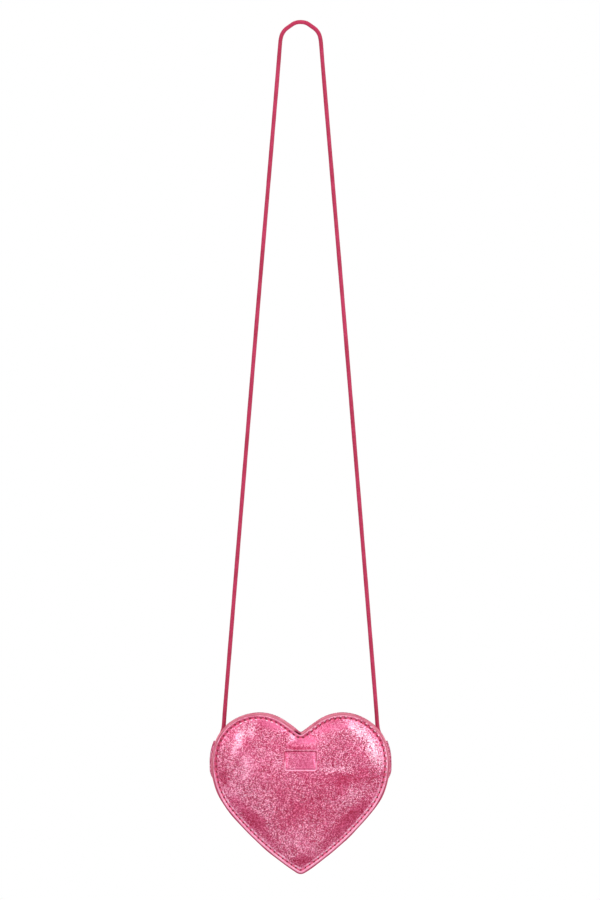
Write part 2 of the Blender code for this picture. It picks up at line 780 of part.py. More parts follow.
def build_slider():
    """Two plates joined by a wedge, with lanes for the rows and slots for the tapes."""
    lane_front = SPREAD + BEAD_OUTER + SLIDER_CLEARANCE
    lane_tail = BEAD_OUTER + SLIDER_CLEARANCE
    outer = slider_plan(lane_front + SLIDER_RIM, lane_tail + SLIDER_RIM)
    bottom = LANE_MIDDLE - LANE_HALF - SLIDER_PLATE
    body = slider_layer("slider_body", [outer], bottom, SLIDER_TOP, GOLD_METAL)
    soften(body, SLIDER_ROUNDING)

    _, _, (wide_end_share, _), (narrow_start_share, _), _, _ = SLIDER_PLAN_SHARES
    past_end = SLIDER_HALF + SLIDER_OVERRUN
    half_lanes = [
        (-past_end, lane_front),
        (wide_end_share * SLIDER_HALF, lane_front),
        (narrow_start_share * SLIDER_HALF, lane_tail),
        (past_end, lane_tail),
    ]
    lanes = half_lanes + [(x, -y) for x, y in reversed(half_lanes)]
    wedge_front = SLIDER_ROUNDING - SLIDER_HALF
    wedge_back = wedge_front + WEDGE_LENGTH
    middle = (wedge_front + wedge_back) / 2
    wedge = [
        (wedge_front, 0),
        (middle, WEDGE_WIDTH / 2),
        (wedge_back, 0),
        (middle, -WEDGE_WIDTH / 2),
    ]
    low = LANE_MIDDLE - LANE_HALF
    high = LANE_MIDDLE + LANE_HALF
    lane_shape = slider_layer("slider_lanes", [lanes, wedge], low, high, None, GUIDES)
    combine(body, lane_shape, "DIFFERENCE")

    inner = BEAD_PLACE + SLIDER_CLEARANCE
    reach = lane_front + 2 * SLIDER_OVERRUN - inner
    for side in (-1, 1):
        place = (0, side * (inner + reach / 2), CHAIN_RADIUS + LANE_MIDDLE)
        size = (2 * (SLIDER_HALF + SLIDER_OVERRUN), reach, SLIDER_SLOT)
        slot = block("slider_slot", size, SLIDER, place, 0, None, GUIDES)
        combine(body, slot, "DIFFERENCE")


def build_bridge():
    """A low arch over the slider that holds the bar of the pull."""
    rise = 2 * (PULL_RISE - SLIDER_TOP)
    half = BRIDGE_LENGTH / 2
    angles = [math.pi * i / 12 for i in range(13)]
    outer = []
    inner = []
    for angle in angles:
        up = math.sin(angle)
        outer.append((half * math.cos(angle), SEAT_GAP + (rise + BRIDGE_THICKNESS - SEAT_GAP) * up))
        narrow = half - BRIDGE_THICKNESS
        inner.append((narrow * math.cos(angle), SEAT_GAP + (rise - SEAT_GAP) * up))
    arch = cut_flat("slider_bridge", [outer + inner[::-1]], BRIDGE_WIDTH)
    made = add_object("slider_bridge", arch, SLIDER, GOLD_METAL)
    made.location.z = CHAIN_RADIUS + SLIDER_TOP
    made.rotation_euler = (math.pi / 2, 0, 0)
    weld_caps(made)


def build_pull():
    """A flat tongue: the bar at its hinge, a window for the bridge and an eye at its far end."""
    half = PULL_WIDTH / 2
    bar = PULL_THICKNESS / 2
    end = PULL_LENGTH - bar - half
    turns = [math.pi / 2 - math.pi * i / 12 for i in range(13)]
    outline = [(end + half * math.cos(turn), half * math.sin(turn)) for turn in turns]
    outline += [(0, -half), (-bar, bar - half), (-bar, half - bar), (0, half)]
    gap = half - PULL_ARM
    window = [(bar, -gap), (bar + PULL_WINDOW, -gap), (bar + PULL_WINDOW, gap), (bar, gap)]
    round_turns = [2 * math.pi * i / 12 for i in range(12)]
    radius = PULL_EYE_RADIUS
    eye = [(end + radius * math.cos(turn), radius * math.sin(turn)) for turn in round_turns]
    plate = cut_flat("zip_pull", [outline, window, eye], PULL_THICKNESS)
    weld_caps(add_object("zip_pull", plate, PULL, GOLD_METAL))


def build_tabs():
    """A sewn tab over each end of the cord: flat wings and a ridge that fades below the end."""
    angles = [TAB_TOP, STRAP_END, STRAP_END - TAB_FADE, TAB_BOTTOM]
    right = edge_run(0, angles)

    def tab_section(station):
        angle = side_angle(station)
        ridge = smooth((angle - STRAP_END + TAB_FADE) / TAB_FADE)
        narrowed = smooth((STRAP_END - angle) / (STRAP_END - TAB_BOTTOM))
        half = (TAB_WIDTH - narrowed * (TAB_WIDTH - TAB_END_WIDTH)) / 2
        side = [(SEAT_GAP, -half)]
        for across, share in TAB_RIDGE_SHARES:
            side.append((SEAT_GAP + ridge * share * CORD_RADIUS, -across * CORD_RADIUS))
        return side + [(out, -y) for out, y in reversed(side[:-1])]

    for name, stations in (("side_tab_right", right), ("side_tab_left", mirrored(right))):
        tab = strip(name, stations, tab_section, TAB_THICKNESS, PINK_FOIL, inwards=False)
        soften(tab, EDGE_ROUNDING)


def build_strap_ends():
    """The stretch of cord under each tab, lying along the side of the bag."""
    start = STRAP_LEAVE - SEAT_GAP / LEAVE_RADIUS
    right = edge_run(CORD_OFFSET, [start, STRAP_END])
    for name, stations in (("strap_end_right", right), ("strap_end_left", mirrored(right))):
        points = [(x, 0, z) for x, z, _ in stations]
        in_bag(name, tube(name, points, CORD_DIAMETER), STRAP_LEATHER)


def strap_curve():
    """A smooth curve through the route's points, from the crest down to the right side."""
    route = [Vector(place) for place in STRAP_ROUTE] + [Vector((LEAVE_X, -STRAP_DROP))]
    before = Vector((-route[1].x, route[1].y))
    after = route[-1] + (route[-1] - route[-2])
    knots = [before] + route + [after]
    dense = [route[0]]
    for i in range(1, len(knots) - 2):
        first, start, end, last = knots[i - 1 : i + 3]
        reach = (end - start).length
        leave = reach * (end - first) / ((end - start).length + (start - first).length)
        arrive = reach * (last - start) / ((last - end).length + (end - start).length)
        for step in range(1, 25):
            t = step / 24
            point = (2 * t**3 - 3 * t**2 + 1) * start + (t**3 - 2 * t**2 + t) * leave
            point += (3 * t**2 - 2 * t**3) * end + (t**3 - t**2) * arrive
            dense.append(point)
    return dense


def evenly(dense, start, end, step):
    """Points along the curve between two lengths, at most a step apart."""
    lengths = [0]
    for near, far in zip(dense, dense[1:]):
        lengths.append(lengths[-1] + (far - near).length)
    end = min(end, lengths[-1])
    count = math.ceil((end - start) / step)
    points = []
    place = 0
    for i in range(count + 1):
        length = start + (end - start) * i / count
        while place < len(lengths) - 2 and lengths[place + 1] < length:
            place += 1
        share = (length - lengths[place]) / (lengths[place + 1] - lengths[place])
        points.append(dense[place].lerp(dense[place + 1], share))
    return points


def build_strap():
    """The free cord: over the hook and down to both sides, with closer points on its bends."""
    dense = strap_curve()
    whole = sum((far - near).length for near, far in zip(dense, dense[1:]))
    foot = whole - STRAP_BEND_LENGTH / 2
    right = evenly(dense, 0, STRAP_BEND_LENGTH, STRAP_BEND_STEP)
    right += evenly(dense, STRAP_BEND_LENGTH, foot, STRAP_STEP)[1:]
    right += evenly(dense, foot, whole, STRAP_BEND_STEP)[1:]
    points = [(-x, 0, z) for x, z in right[:0:-1]] + [(x, 0, z) for x, z in right]
    add_object("strap_cord", tube("strap_cord", points, CORD_DIAMETER), None, STRAP_LEATHER)


clear_scene()
PARTS = new_collection("mini_bag")
GUIDES = new_collection("guides")

PINK_FOIL = material("pink_foil_leather", (0.66, 0.055, 0.19), 0.34, 0.45)
STRAP_LEATHER = material("strap_leather", (0.46, 0.030, 0.085), 0.42, 0.1)
GOLD_METAL = material("zip_metal", (0.74, 0.56, 0.30), 0.28, 1)
TAPE_CLOTH = material("zip_tape_cloth", (0.42, 0.030, 0.11), 0.85, 0)
LINING_CLOTH = material("lining_cloth", (0.30, 0.020, 0.075), 0.8, 0)
WADDING = material("wadding", (0.80, 0.78, 0.74), 0.95, 0)
GREY_BOARD = material("grey_board", (0.42, 0.40, 0.37), 0.9, 0)

BAG = add_empty("bag_swing", None, (0, 0, -STRAP_DROP))
SLIDER = add_empty("slider_pivot", BAG, (-LOBE_SPREAD, 0, -LEAVE_RISE), SLIDER_REST - math.pi / 2)
PULL = add_empty("pull_pivot", SLIDER, (0, 0, CHAIN_RADIUS + PULL_RISE))
bpy.context.view_layer.update()

build_front_panel()
build_front_padding()
build_flat_pieces()
build_strips()
build_tapes()
build_chain()
build_stops()
build_slider()
build_bridge()
build_pull()
build_tabs()
build_strap_ends()
build_strap()
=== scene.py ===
"""Heart-shaped mini bag of crinkled foil leather, hanging by a long thin cord strap."""

import math

import bpy
import numpy as np
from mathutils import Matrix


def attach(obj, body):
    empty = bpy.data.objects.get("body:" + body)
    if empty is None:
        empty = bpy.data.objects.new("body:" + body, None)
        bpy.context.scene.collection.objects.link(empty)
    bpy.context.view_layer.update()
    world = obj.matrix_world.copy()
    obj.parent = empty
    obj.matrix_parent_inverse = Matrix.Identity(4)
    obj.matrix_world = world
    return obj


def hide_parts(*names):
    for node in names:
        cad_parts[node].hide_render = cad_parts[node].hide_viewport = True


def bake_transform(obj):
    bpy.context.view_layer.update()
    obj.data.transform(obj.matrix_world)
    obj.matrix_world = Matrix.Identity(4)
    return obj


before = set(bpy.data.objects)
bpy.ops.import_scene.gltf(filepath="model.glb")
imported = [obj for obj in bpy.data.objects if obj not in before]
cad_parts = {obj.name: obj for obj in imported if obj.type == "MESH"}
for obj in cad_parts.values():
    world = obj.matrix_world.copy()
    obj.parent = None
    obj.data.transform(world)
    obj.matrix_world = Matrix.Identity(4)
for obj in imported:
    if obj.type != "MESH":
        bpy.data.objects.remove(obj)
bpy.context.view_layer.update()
scene = bpy.context.scene

MM = 0.001

# Sizes shared with the solids, in metres and radians, the tabs' ends in degrees
HEART_Z = -0.515637
LOBE_X, LOBE_R = 29.8 * MM, 29.0 * MM
HIP_R, FLANK_R, TIP_R, NOTCH_R = 49.5 * MM, 204.0 * MM, 2.5 * MM, 5.5 * MM
HIP_START, FLANK_START, NOTCH_SLOPE = np.radians([10, -39, 37])
LOBE_START = math.pi / 2 + NOTCH_SLOPE
HALF_CHANNEL = 10.7 * MM
PANEL_FACE, PANEL_PLY, PANEL_OUT = 13.2 * MM, 1.2 * MM, 2.0 * MM
PLY = 1.0 * MM
CROWN_HEIGHT, CROWN_DROP = 7.5 * MM, 15.5 * MM
CENTRE_Z = HEART_Z - CROWN_DROP
FRAME_HALF_X, FRAME_HALF_Z, FRAME_CORNER, FRAME_DROP = 11.2 * MM, 6.85 * MM, 1.4 * MM, 0.9 * MM
WINDOW_END, GUSSET_TOP = np.radians([50, 17])
SLIDER_ANGLE, SLIDER_LENGTH = math.radians(67), 8.4 * MM
ROW_DEPTH, ROW_SPREAD = 1.6 * MM, 1.4 * MM
TAB_TOP, TAB_BOTTOM = 23, -19
CORD_D = 2.9 * MM
LEAVE_ANGLE, CORD_END_ANGLE = math.radians(31), math.radians(21)
CORD_OFFSET = 0.3 * MM + CORD_D / 2
CORD_CIRCLE = LOBE_R + CORD_OFFSET
STITCH_COUNT = 97

# Names with their directions in y and in x, and the material slot of the leather
FRONT_BACK = ("front", -1), ("back", 1)
RIGHT_LEFT = ("right", 1), ("left", -1)
LEATHER = "pink_foil_leather"

# How finely the shapes are drawn
SAMPLES_PER_STITCH = 12
NOTCH_POINTS, ARC_POINTS = 60, 240

# The middle of the view, which the lights are aimed at
LIT_POINT = (0, 0, -0.5)


# Nodes and numbers for the materials

class Number:
    """A socket's number in an expression: each operator adds one Math node."""

    def __init__(self, nodes, socket):
        self.nodes = nodes
        self.socket = socket

    def maths(self, operation, *others):
        return self.nodes.maths(operation, self, *others)

    def __add__(self, other):
        return self.maths("ADD", other)

    __radd__ = __add__

    def __sub__(self, other):
        return self.maths("SUBTRACT", other)

    def __rsub__(self, other):
        return self.nodes.maths("SUBTRACT", other, self)

    def __mul__(self, other):
        return self.maths("MULTIPLY", other)

    __rmul__ = __mul__

    def __truediv__(self, other):
        return self.maths("DIVIDE", other)

    def __pow__(self, other):
        return self.maths("POWER", other)

    def clipped(self):
        return self.maths("MAXIMUM", 0.0).maths("MINIMUM", 1.0)

    def steps(self, low, high):
        """0 below low, 1 above high, and a smooth rise between them."""
        sockets = {"Value": self, "From Min": low, "From Max": high}
        made = self.nodes.node("MapRange", sockets, interpolation_type="SMOOTHSTEP")
        return Number(self.nodes, made.outputs["Result"])

    def band(self, low, full, fading, high):
        """1 between full and fading, 0 below low and above high."""
        return self.steps(low, full) * (1 - self.steps(fading, high))


class Nodes:
    """A node tree that is drawn by expressions."""

    def __init__(self, tree):
        self.tree = tree

    def node(self, kind, sockets=None, **settings):
        made = self.tree.nodes.new("ShaderNode" + kind)
        for key, value in settings.items():
            setattr(made, key, value)
        for key, value in (sockets or {}).items():
            self.feed(made.inputs[key], value)
        return made

    def feed(self, socket, value):
        """Sets a socket's value, or links a number or another socket to it."""
        value = value.socket if isinstance(value, Number) else value
        if isinstance(value, bpy.types.NodeSocket):
            self.tree.links.new(value, socket)
        else:
            socket.default_value = value

    def maths(self, operation, *values):
        made = self.node("Math", dict(enumerate(values)), operation=operation)
        return Number(self, made.outputs[0])


class Finish(Nodes):
    """A material, drawn as a tree of nodes round one Principled shader."""

    def __init__(self, name):
        self.material = bpy.data.materials.new(name)
        self.material.use_nodes = True
        super().__init__(self.material.node_tree)
        self.shader = self.tree.nodes["Principled BSDF"]
        self.place = self.node("TexCoord").outputs["Object"]
        self.x, self.y, self.z = self.parts(self.place)

    def shade(self, colour, roughness, bump=(), **sockets):
        """Feeds the shader. bump is a height, a depth in metres, a strength, perhaps a normal."""
        sockets.update(Base_Color=colour, Roughness=roughness)
        if bump:
            bump = dict(zip(("Height", "Distance", "Strength", "Normal"), bump))
            sockets["Normal"] = self.node("Bump", bump).outputs["Normal"]
        for key, value in sockets.items():
            self.feed(self.shader.inputs[key.replace("_", " ")], value)
        return self.material

    def parts(self, vector):
        """The three numbers of a vector or a colour."""
        outputs = self.node("SeparateXYZ", {0: vector}).outputs
        return [Number(self, output) for output in outputs]

    def marks(self):
        """The three numbers of a piece's own attribute, such as length along a seam."""
        return self.parts(self.node("Attribute", attribute_name="marks").outputs["Vector"])

    def joined(self, x, y):
        return self.node("CombineXYZ", {0: x, 1: y}).outputs[0]

    def vector(self, operation, *values):
        made = self.node("VectorMath", dict(enumerate(values)), operation=operation)
        return made.outputs[0]

    def noise(self, scale, detail=2.0, roughness=0.5, distortion=0.0, vector=None):
        sockets = {"Vector": vector or self.place, "Scale": scale, "Detail": detail}
        sockets.update({"Roughness": roughness, "Distortion": distortion})
        return Number(self, self.node("TexNoise", sockets).outputs["Fac"])

    def cells(self, vector, scale, feature, output):
        sockets = {"Vector": vector, "Scale": scale}
        return self.node("TexVoronoi", sockets, feature=feature).outputs[output]

    def spot(self, x, z, length, width, turn):
        """A soft oval on the front, 1 in its middle and 0 outside it. Its place, from the lobes'
        line, and its size are in millimetres."""
        sockets = {"Vector": self.place, "Scale": (length * MM, 1, width * MM)}
        sockets["Location"] = (x * MM, 0, z * MM + HEART_Z)
        sockets["Rotation"] = (0, -math.radians(turn), 0)
        turned = self.node("Mapping", sockets, vector_type="TEXTURE").outputs[0]
        reach = self.node("VectorMath", {0: turned}, operation="LENGTH")
        return 1 - Number(self, reach.outputs["Value"]).steps(0.15, 1.15)

    def pressed_lines(self):
        """The frame pressed into the front: how far a point is inside it, how near its raised
        rim, and its painted shade, above 0 under the upper edges, below 0 where a painted highlight goes
        over the lower ones. away is in millimetres outside it."""
        z = self.z - (HEART_Z - FRAME_DROP)
        side_x = self.x.maths("ABSOLUTE") - (FRAME_HALF_X - FRAME_CORNER)
        side_z = z.maths("ABSOLUTE") - (FRAME_HALF_Z - FRAME_CORNER)
        far_x = side_x.maths("MAXIMUM", 0.0)
        far_z = side_z.maths("MAXIMUM", 0.0)
        inner = side_x.maths("MAXIMUM", side_z).maths("MINIMUM", 0.0)
        away = ((far_x * far_x + far_z * far_z) ** 0.5 + inner - FRAME_CORNER) / MM
        front = 1 - self.y.steps(-0.012, -0.010)
        sunk = (1 - away.steps(-0.45, 0.1)) * front
        rim = away.band(0.0, 0.5, 0.5, 1.1) * front
        line = away.band(-2.3, -1.9, -1.7, -1.3) * front
        wall = away.band(-0.9, -0.35, 0.0, 0.35) * front
        upper = z.steps(-0.002, 0.002) * 2 - 1
        return sunk, rim + line * 0.6, upper * (wall - rim * 0.45) + line * 0.25

    def layers(self, colour, *coats):
        """A colour under coats, each a factor and a colour: 0 shows what is below, 1 hides it."""
        for factor, coat in coats:
            made = self.node("Mix", {0: factor}, data_type="RGBA")
            for socket, value in ((6, colour), (7, coat)):
                self.feed(made.inputs[socket], (*value, 1) if isinstance(value, tuple) else value)
            colour = made.outputs[2]
        return colour


# Camera, light and floor

def put(name, data):
    """A new object at the origin, linked to the scene."""
    made = bpy.data.objects.new(name, data)
    scene.collection.objects.link(made)
    return made


def make_camera():
    """The photograph's view: level, from straight ahead and far away, 0.70 mm to a pixel."""
    distance, frame_height, sensor = 11.0, 0.630, 36
    data = bpy.data.cameras.new("camera")
    data.sensor_width = sensor
    data.lens = sensor * distance / frame_height
    data.clip_end = 40
    camera = put("camera", data)
    camera.location = (-0.0004, -distance, -0.2992)
    camera.rotation_euler = (math.pi / 2, 0, 0)
    scene.camera = camera


def softbox(name, place, size, power):
    data = bpy.data.lights.new(name, "AREA")
    data.shape = "RECTANGLE"
    data.size, data.size_y = size
    data.energy = power
    lamp = put(name, data)
    lamp.location = place
    aim = np.subtract(LIT_POINT, place)
    tilt = math.acos(-aim[2] / np.linalg.norm(aim))
    lamp.rotation_euler = (tilt, 0, math.atan2(aim[0], -aim[1]) + math.pi)


def make_world():
    """White to the camera and in gloss, and a soft plain fill on the object."""
    world = bpy.data.worlds.new("studio")
    scene.world = world
    world.use_nodes = True
    studio = Nodes(world.node_tree)
    white = (1, 1, 1, 1)
    seen = studio.tree.nodes["Background"]
    studio.feed(seen.inputs["Color"], white)
    fill = studio.node("Background", {"Color": white, "Strength": 0.55})
    path = studio.node("LightPath").outputs
    straight = studio.maths("MAXIMUM", path["Is Camera Ray"], path["Is Glossy Ray"])
    straight = straight.maths("MAXIMUM", path["Is Transmission Ray"])
    sockets = {0: straight, 1: fill.outputs[0], 2: seen.outputs[0]}
    choose = studio.node("MixShader", sockets)
    studio.feed(studio.tree.nodes["World Output"].inputs["Surface"], choose.outputs[0])


def make_floor():
    data = bpy.data.meshes.new("floor")
    half, near, far, low = 2.5, -3.0, 1.9, -0.672
    corners = [(-half, near, low), (half, near, low), (half, far, low), (-half, far, low)]
    data.from_pydata(corners, [], [(0, 1, 2, 3)])
    finish = Finish("floor_paint")
    colour = finish.layers((0.86, 0.855, 0.85), (finish.noise(140.0, 3.0), (0.90, 0.895, 0.89)))
    data.materials.append(finish.shade(colour, 0.75))
    put("floor", data)


# The heart's outline

def seam_table(offset=0.0, tip_radius=TIP_R):
    """The right half of the outline at a distance outside the stitch line, from the middle of
    the notch to the tip: the notch's arc, a straight, and the arcs of lobe, hip, flank and tip.
    The columns are length along it, x, z and the outward normal's angle."""

    def heading(angle):
        return np.array([np.cos(angle), np.sin(angle)])

    hip = np.array([LOBE_X, 0]) - (HIP_R - LOBE_R) * heading(HIP_START)
    flank = hip - (FLANK_R - HIP_R) * heading(FLANK_START)
    tip_z = flank[1] - math.sqrt((FLANK_R + offset - tip_radius) ** 2 - flank[0] ** 2)
    meet = math.atan2(tip_z - flank[1], -flank[0])
    vertex = (LOBE_R + offset - LOBE_X * math.sin(NOTCH_SLOPE)) / math.cos(NOTCH_SLOPE)
    notch_r = NOTCH_R - offset
    notch_z = vertex + notch_r / math.cos(NOTCH_SLOPE)
    arcs = [
        ((LOBE_X, 0), LOBE_R + offset, LOBE_START, HIP_START),
        (hip, HIP_R + offset, HIP_START, FLANK_START),
        (flank, FLANK_R + offset, FLANK_START, meet),
        ((0, tip_z), tip_radius, meet, -math.pi / 2),
    ]
    turn = np.linspace(0, NOTCH_SLOPE, NOTCH_POINTS)
    columns = [(notch_r * np.sin(turn), notch_z - notch_r * np.cos(turn), math.pi / 2 + turn)]
    for centre, radius, first, last in arcs:
        a = np.linspace(first, last, ARC_POINTS)
        columns.append((centre[0] + radius * np.cos(a), centre[1] + radius * np.sin(a), a))
    x, z, angle = (np.concatenate(column) for column in zip(*columns))
    length = np.concatenate([[0], np.cumsum(np.hypot(np.diff(x), np.diff(z)))])
    return length, x, z, angle


SEAM = seam_table()
HALF_SEAM = SEAM[0][-1]
PITCH = 2 * HALF_SEAM / STITCH_COUNT


def on_seam(s, table=SEAM):
    """x, z and normal angle at signed lengths along an outline from the notch, past the tip too."""
    half = table[0][-1]
    s = (np.asarray(s) + half) % (2 * half) - half
    x, z, angle = (np.interp(np.abs(s), table[0], column) for column in table[1:])
    return np.where(s < 0, -x, x), z, np.where(s < 0, math.pi - angle, angle)


def length_at(angle, table=SEAM):
    """Length along the right half at which the normal has this angle, below the lobe's start."""
    lobe = table[0] > table[0][NOTCH_POINTS]
    return float(np.interp(-angle, -table[3][lobe], table[0][lobe]))


def length_at_degrees(angle):
    return length_at(math.radians(angle))


SAMPLES = np.arange(STITCH_COUNT * SAMPLES_PER_STITCH)
EVEN_SEAM = HALF_SEAM * (2 * SAMPLES / STITCH_COUNT / SAMPLES_PER_STITCH - 1)
WHOLE_SEAM = on_seam(EVEN_SEAM)


def side_angle(s):
    """The normal's angle as on the right half."""
    x, _, angle = on_seam(s)
    return np.where(x < 0, math.pi - angle, angle)


def stations(s):
    """x and z on the stitch line, and unit vectors outward from it and along it."""
    x, z, angle = on_seam(s)
    outward = np.stack([np.cos(angle), 0 * angle, np.sin(angle)], -1)
    return x, z, outward, np.stack([np.sin(angle), 0 * angle, -np.cos(angle)], -1)


def beside_seam(s, out):
    """Points x, z at a distance outside the stitch line."""
    x, z, angle = on_seam(s)
    return x + out * np.cos(angle), z + out * np.sin(angle)


def drawn_in(s, share, table=SEAM):
    """Points x, z of an outline drawn in towards the crown's centre."""
    x, z, _ = on_seam(s, table)
    return x * share, (z + CROWN_DROP) * share - CROWN_DROP


def at_heart(x, y, z):
    """Points in space, z being measured from the lobes' line."""
    return np.stack([x, np.broadcast_to(y, x.shape), z + HEART_Z], -1)


def smooth(share):
    share = np.clip(share, 0, 1)
    return share * share * (3 - 2 * share)


def bell(distance, width):
    return np.exp(-((distance / width) ** 2))


def unit(vectors):
    return vectors / np.linalg.norm(vectors, axis=-1)[..., None]


# Meshes

def grid_faces(rows, columns, round_columns=False, start=0):
    """Quads of a grid, wound so that (next row) x (next column) faces outward."""
    row = np.arange(rows - 1)[:, None] * columns
    column = np.arange(columns if round_columns else columns - 1)[None, :]
    after = (column + 1) % columns
    quads = np.stack([row + column, row + columns + column, row + columns + after, row + after], -1)
    return (quads.reshape(-1, 4) + start).tolist()


def turned(faces):
    return [face[::-1] for face in faces]


def make_piece(name, points, faces, finish, slot, replaced=(), marks=None, body="bag"):
    """A mesh at the origin; marks is a vector attribute that its material reads."""
    data = bpy.data.meshes.new(name)
    data.from_pydata(np.asarray(points).reshape(-1, 3).tolist(), [], faces)
    data.update()
    for material in finish if isinstance(finish, list) else [finish]:
        data.materials.append(material)
    if marks is not None:
        attribute = data.attributes.new("marks", "FLOAT_VECTOR", "POINT")
        attribute.data.foreach_set("vector", np.asarray(marks, np.float32).ravel())
    data.shade_smooth()
    made = put(name, data)
    if body:
        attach(made, body)
    if replaced:
        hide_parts(*replaced)
    return made


def thicken(made, thickness, inner_finish=False, rounding=0.3 * MM, offset=-1):
    """Gives a surface its thickness and rounds its cut edges."""
    wall = made.modifiers.new("Thickness", "SOLIDIFY")
    wall.thickness = thickness
    wall.offset = offset
    wall.use_even_offset = True
    if inner_finish:
        wall.material_offset = 1
        wall.material_offset_rim = 2
    edge = made.modifiers.new("Edge", "BEVEL")
    edge.width = rounding
    edge.segments = 3
    edge.limit_method = "ANGLE"
    edge.angle_limit = math.radians(50)


def skin(rings, first, last):
    """A closed skin through rings of points, their numbers in whole ratios, and a fan at each end."""
    starts, total, faces = [], 0, []
    for one in rings:
        starts.append((total, len(one)))
        total += len(one)
    for (start, count), (after, next_count) in zip(starts, starts[1:]):
        few = np.arange(min(count, next_count))
        near = (few + 1) % len(few)
        ratio = max(count, next_count) // len(few)
        if count <= next_count:
            arc = [after + (few * ratio + k) % next_count for k in range(ratio + 1)]
            faces += np.stack([start + few, *arc, start + near], -1).tolist()
        else:
            arc = [start + (few * ratio + k) % count for k in range(ratio, -1, -1)]
            faces += np.stack([after + few, after + near, *arc], -1).tolist()
    count = len(rings[0])
    faces += [[total, i, (i + 1) % count] for i in range(count)]
    start, count = starts[-1]
    faces += [[total + 1, start + (i + 1) % count, start + i] for i in range(count)]
    return np.concatenate([*rings, [first], [last]]), faces


def tubes(centres, sideways, upward, radius, sides):
    """Many closed round tubes at once. centres is (tubes, rings, 3), and sideways and upward are
    unit vectors across each ring."""
    count, rings, _ = centres.shape
    turn = (2 * math.pi * np.arange(sides) / sides)[:, None]
    radius = np.broadcast_to(radius, (count, rings))[..., None, None]
    around = np.cos(turn) * sideways[..., None, :] + np.sin(turn) * upward[..., None, :]
    points = centres[..., None, :] + radius * around
    faces = []
    for start in range(0, count * rings * sides, rings * sides):
        faces += grid_faces(rings, sides, True, start)
        faces.append([start + i for i in range(sides)])
        faces.append([start + (rings - 1) * sides + i for i in range(sides)][::-1])
    return points.reshape(-1, 3), turned(faces)


def tube_marks(lengths, turns):
    """The marks of tubes' points: the length along them and the angle round them."""
    along = np.repeat(lengths, len(turns))
    return np.stack([along, np.tile(turns, len(lengths)), 0 * along], -1)


# Finishes

DEEP = (0.32, 0.012, 0.048)
PINK = (0.67, 0.118, 0.256)
PALE = (0.97, 0.50, 0.68)
# near-white of a painted glint
GLEAM = (1.0, 0.80, 0.90)
MAUVE = (0.50, 0.22, 0.36)
ROSE = (0.86, 0.10, 0.20)
PRESSED_SHADE = (0.40, 0.022, 0.075)
FURROW_ABOVE = (0.90, 0.09, 0.23)
# lighter than FURROW_ABOVE as painted highlight on the lower flanks
FURROW_BELOW = (1.0, 0.22, 0.42)
ROLLED_EDGE_HIGHLIGHT = (1.0, 0.32, 0.54)
PALE_EDGE_HIGHLIGHT = (1.0, 0.78, 0.92)
PUCKER_HIGHLIGHT = (1.0, 0.68, 0.84)
EDGE_HIGHLIGHT = (1.0, 0.55, 0.69)
REAR_EDGE_SHADE = (0.30, 0.022, 0.055)
HOLE_SHADE = (0.19, 0.004, 0.014)
CELL_RATE = 2250.0
FOIL_METAL = 0.80

# Spots of painted highlight (above 0) and painted shade (below 0) on the front's foil: x, z from
# the lobes' line, length, width (mm), turn (degrees), strength, and how flat the grain is
PAINTED_LIGHT_SPOTS = (
    (-43, 14, 13, 5, 68, 0.55, 0),
    (-34, 20, 8, 4, 80, 0.40, 0),
    (-6, 16, 5, 3.5, 50, 0.50, 0),
    (40.5, 20.5, 13, 6.5, -38, 0.60, 0),
    (52, 6, 15, 7, -66, 0.68, 0),
    (24, -7, 11, 3.5, 3, 0.26, 0),
    (-37, -6, 14, 8, 85, 0.26, 0),
    (-48, -22, 10, 6, -60, 0.20, 0.3),
    (34, -26, 12, 6, 40, 0.20, 0),
    (-4, -55, 14, 7, -50, 0.16, 0),
    (8, -63, 8, 2.5, -15, 0.20, 0),
    (3, 12.5, 17, 4.5, 8, 0.08, 0.75),
    (23, 22.5, 19, 4.5, 12, 0.10, 0.7),
    (36, -12, 28, 6.5, 3, -0.26, 0),
    (-54, -12, 9, 5, 85, -0.26, 0.2),
    (-33, -42, 34, 6.5, -48, -0.05, 0.6),
    (34, -42, 34, 6, 44, -0.11, 0.6),
    (6, -30, 34, 18, 8, -0.18, 0),
    (0, 8, 14, 1.8, 0, -0.24, 0.5),
    (0, -71, 11, 5, 0, -0.16, 0.5),
    (-20, 24, 19, 5, -14, 0.10, 0.7),
    (-24, -11.5, 8, 1.8, 14, 0.22, 0),
    (38, -25, 7, 5, -50, 0.12, 0),
)


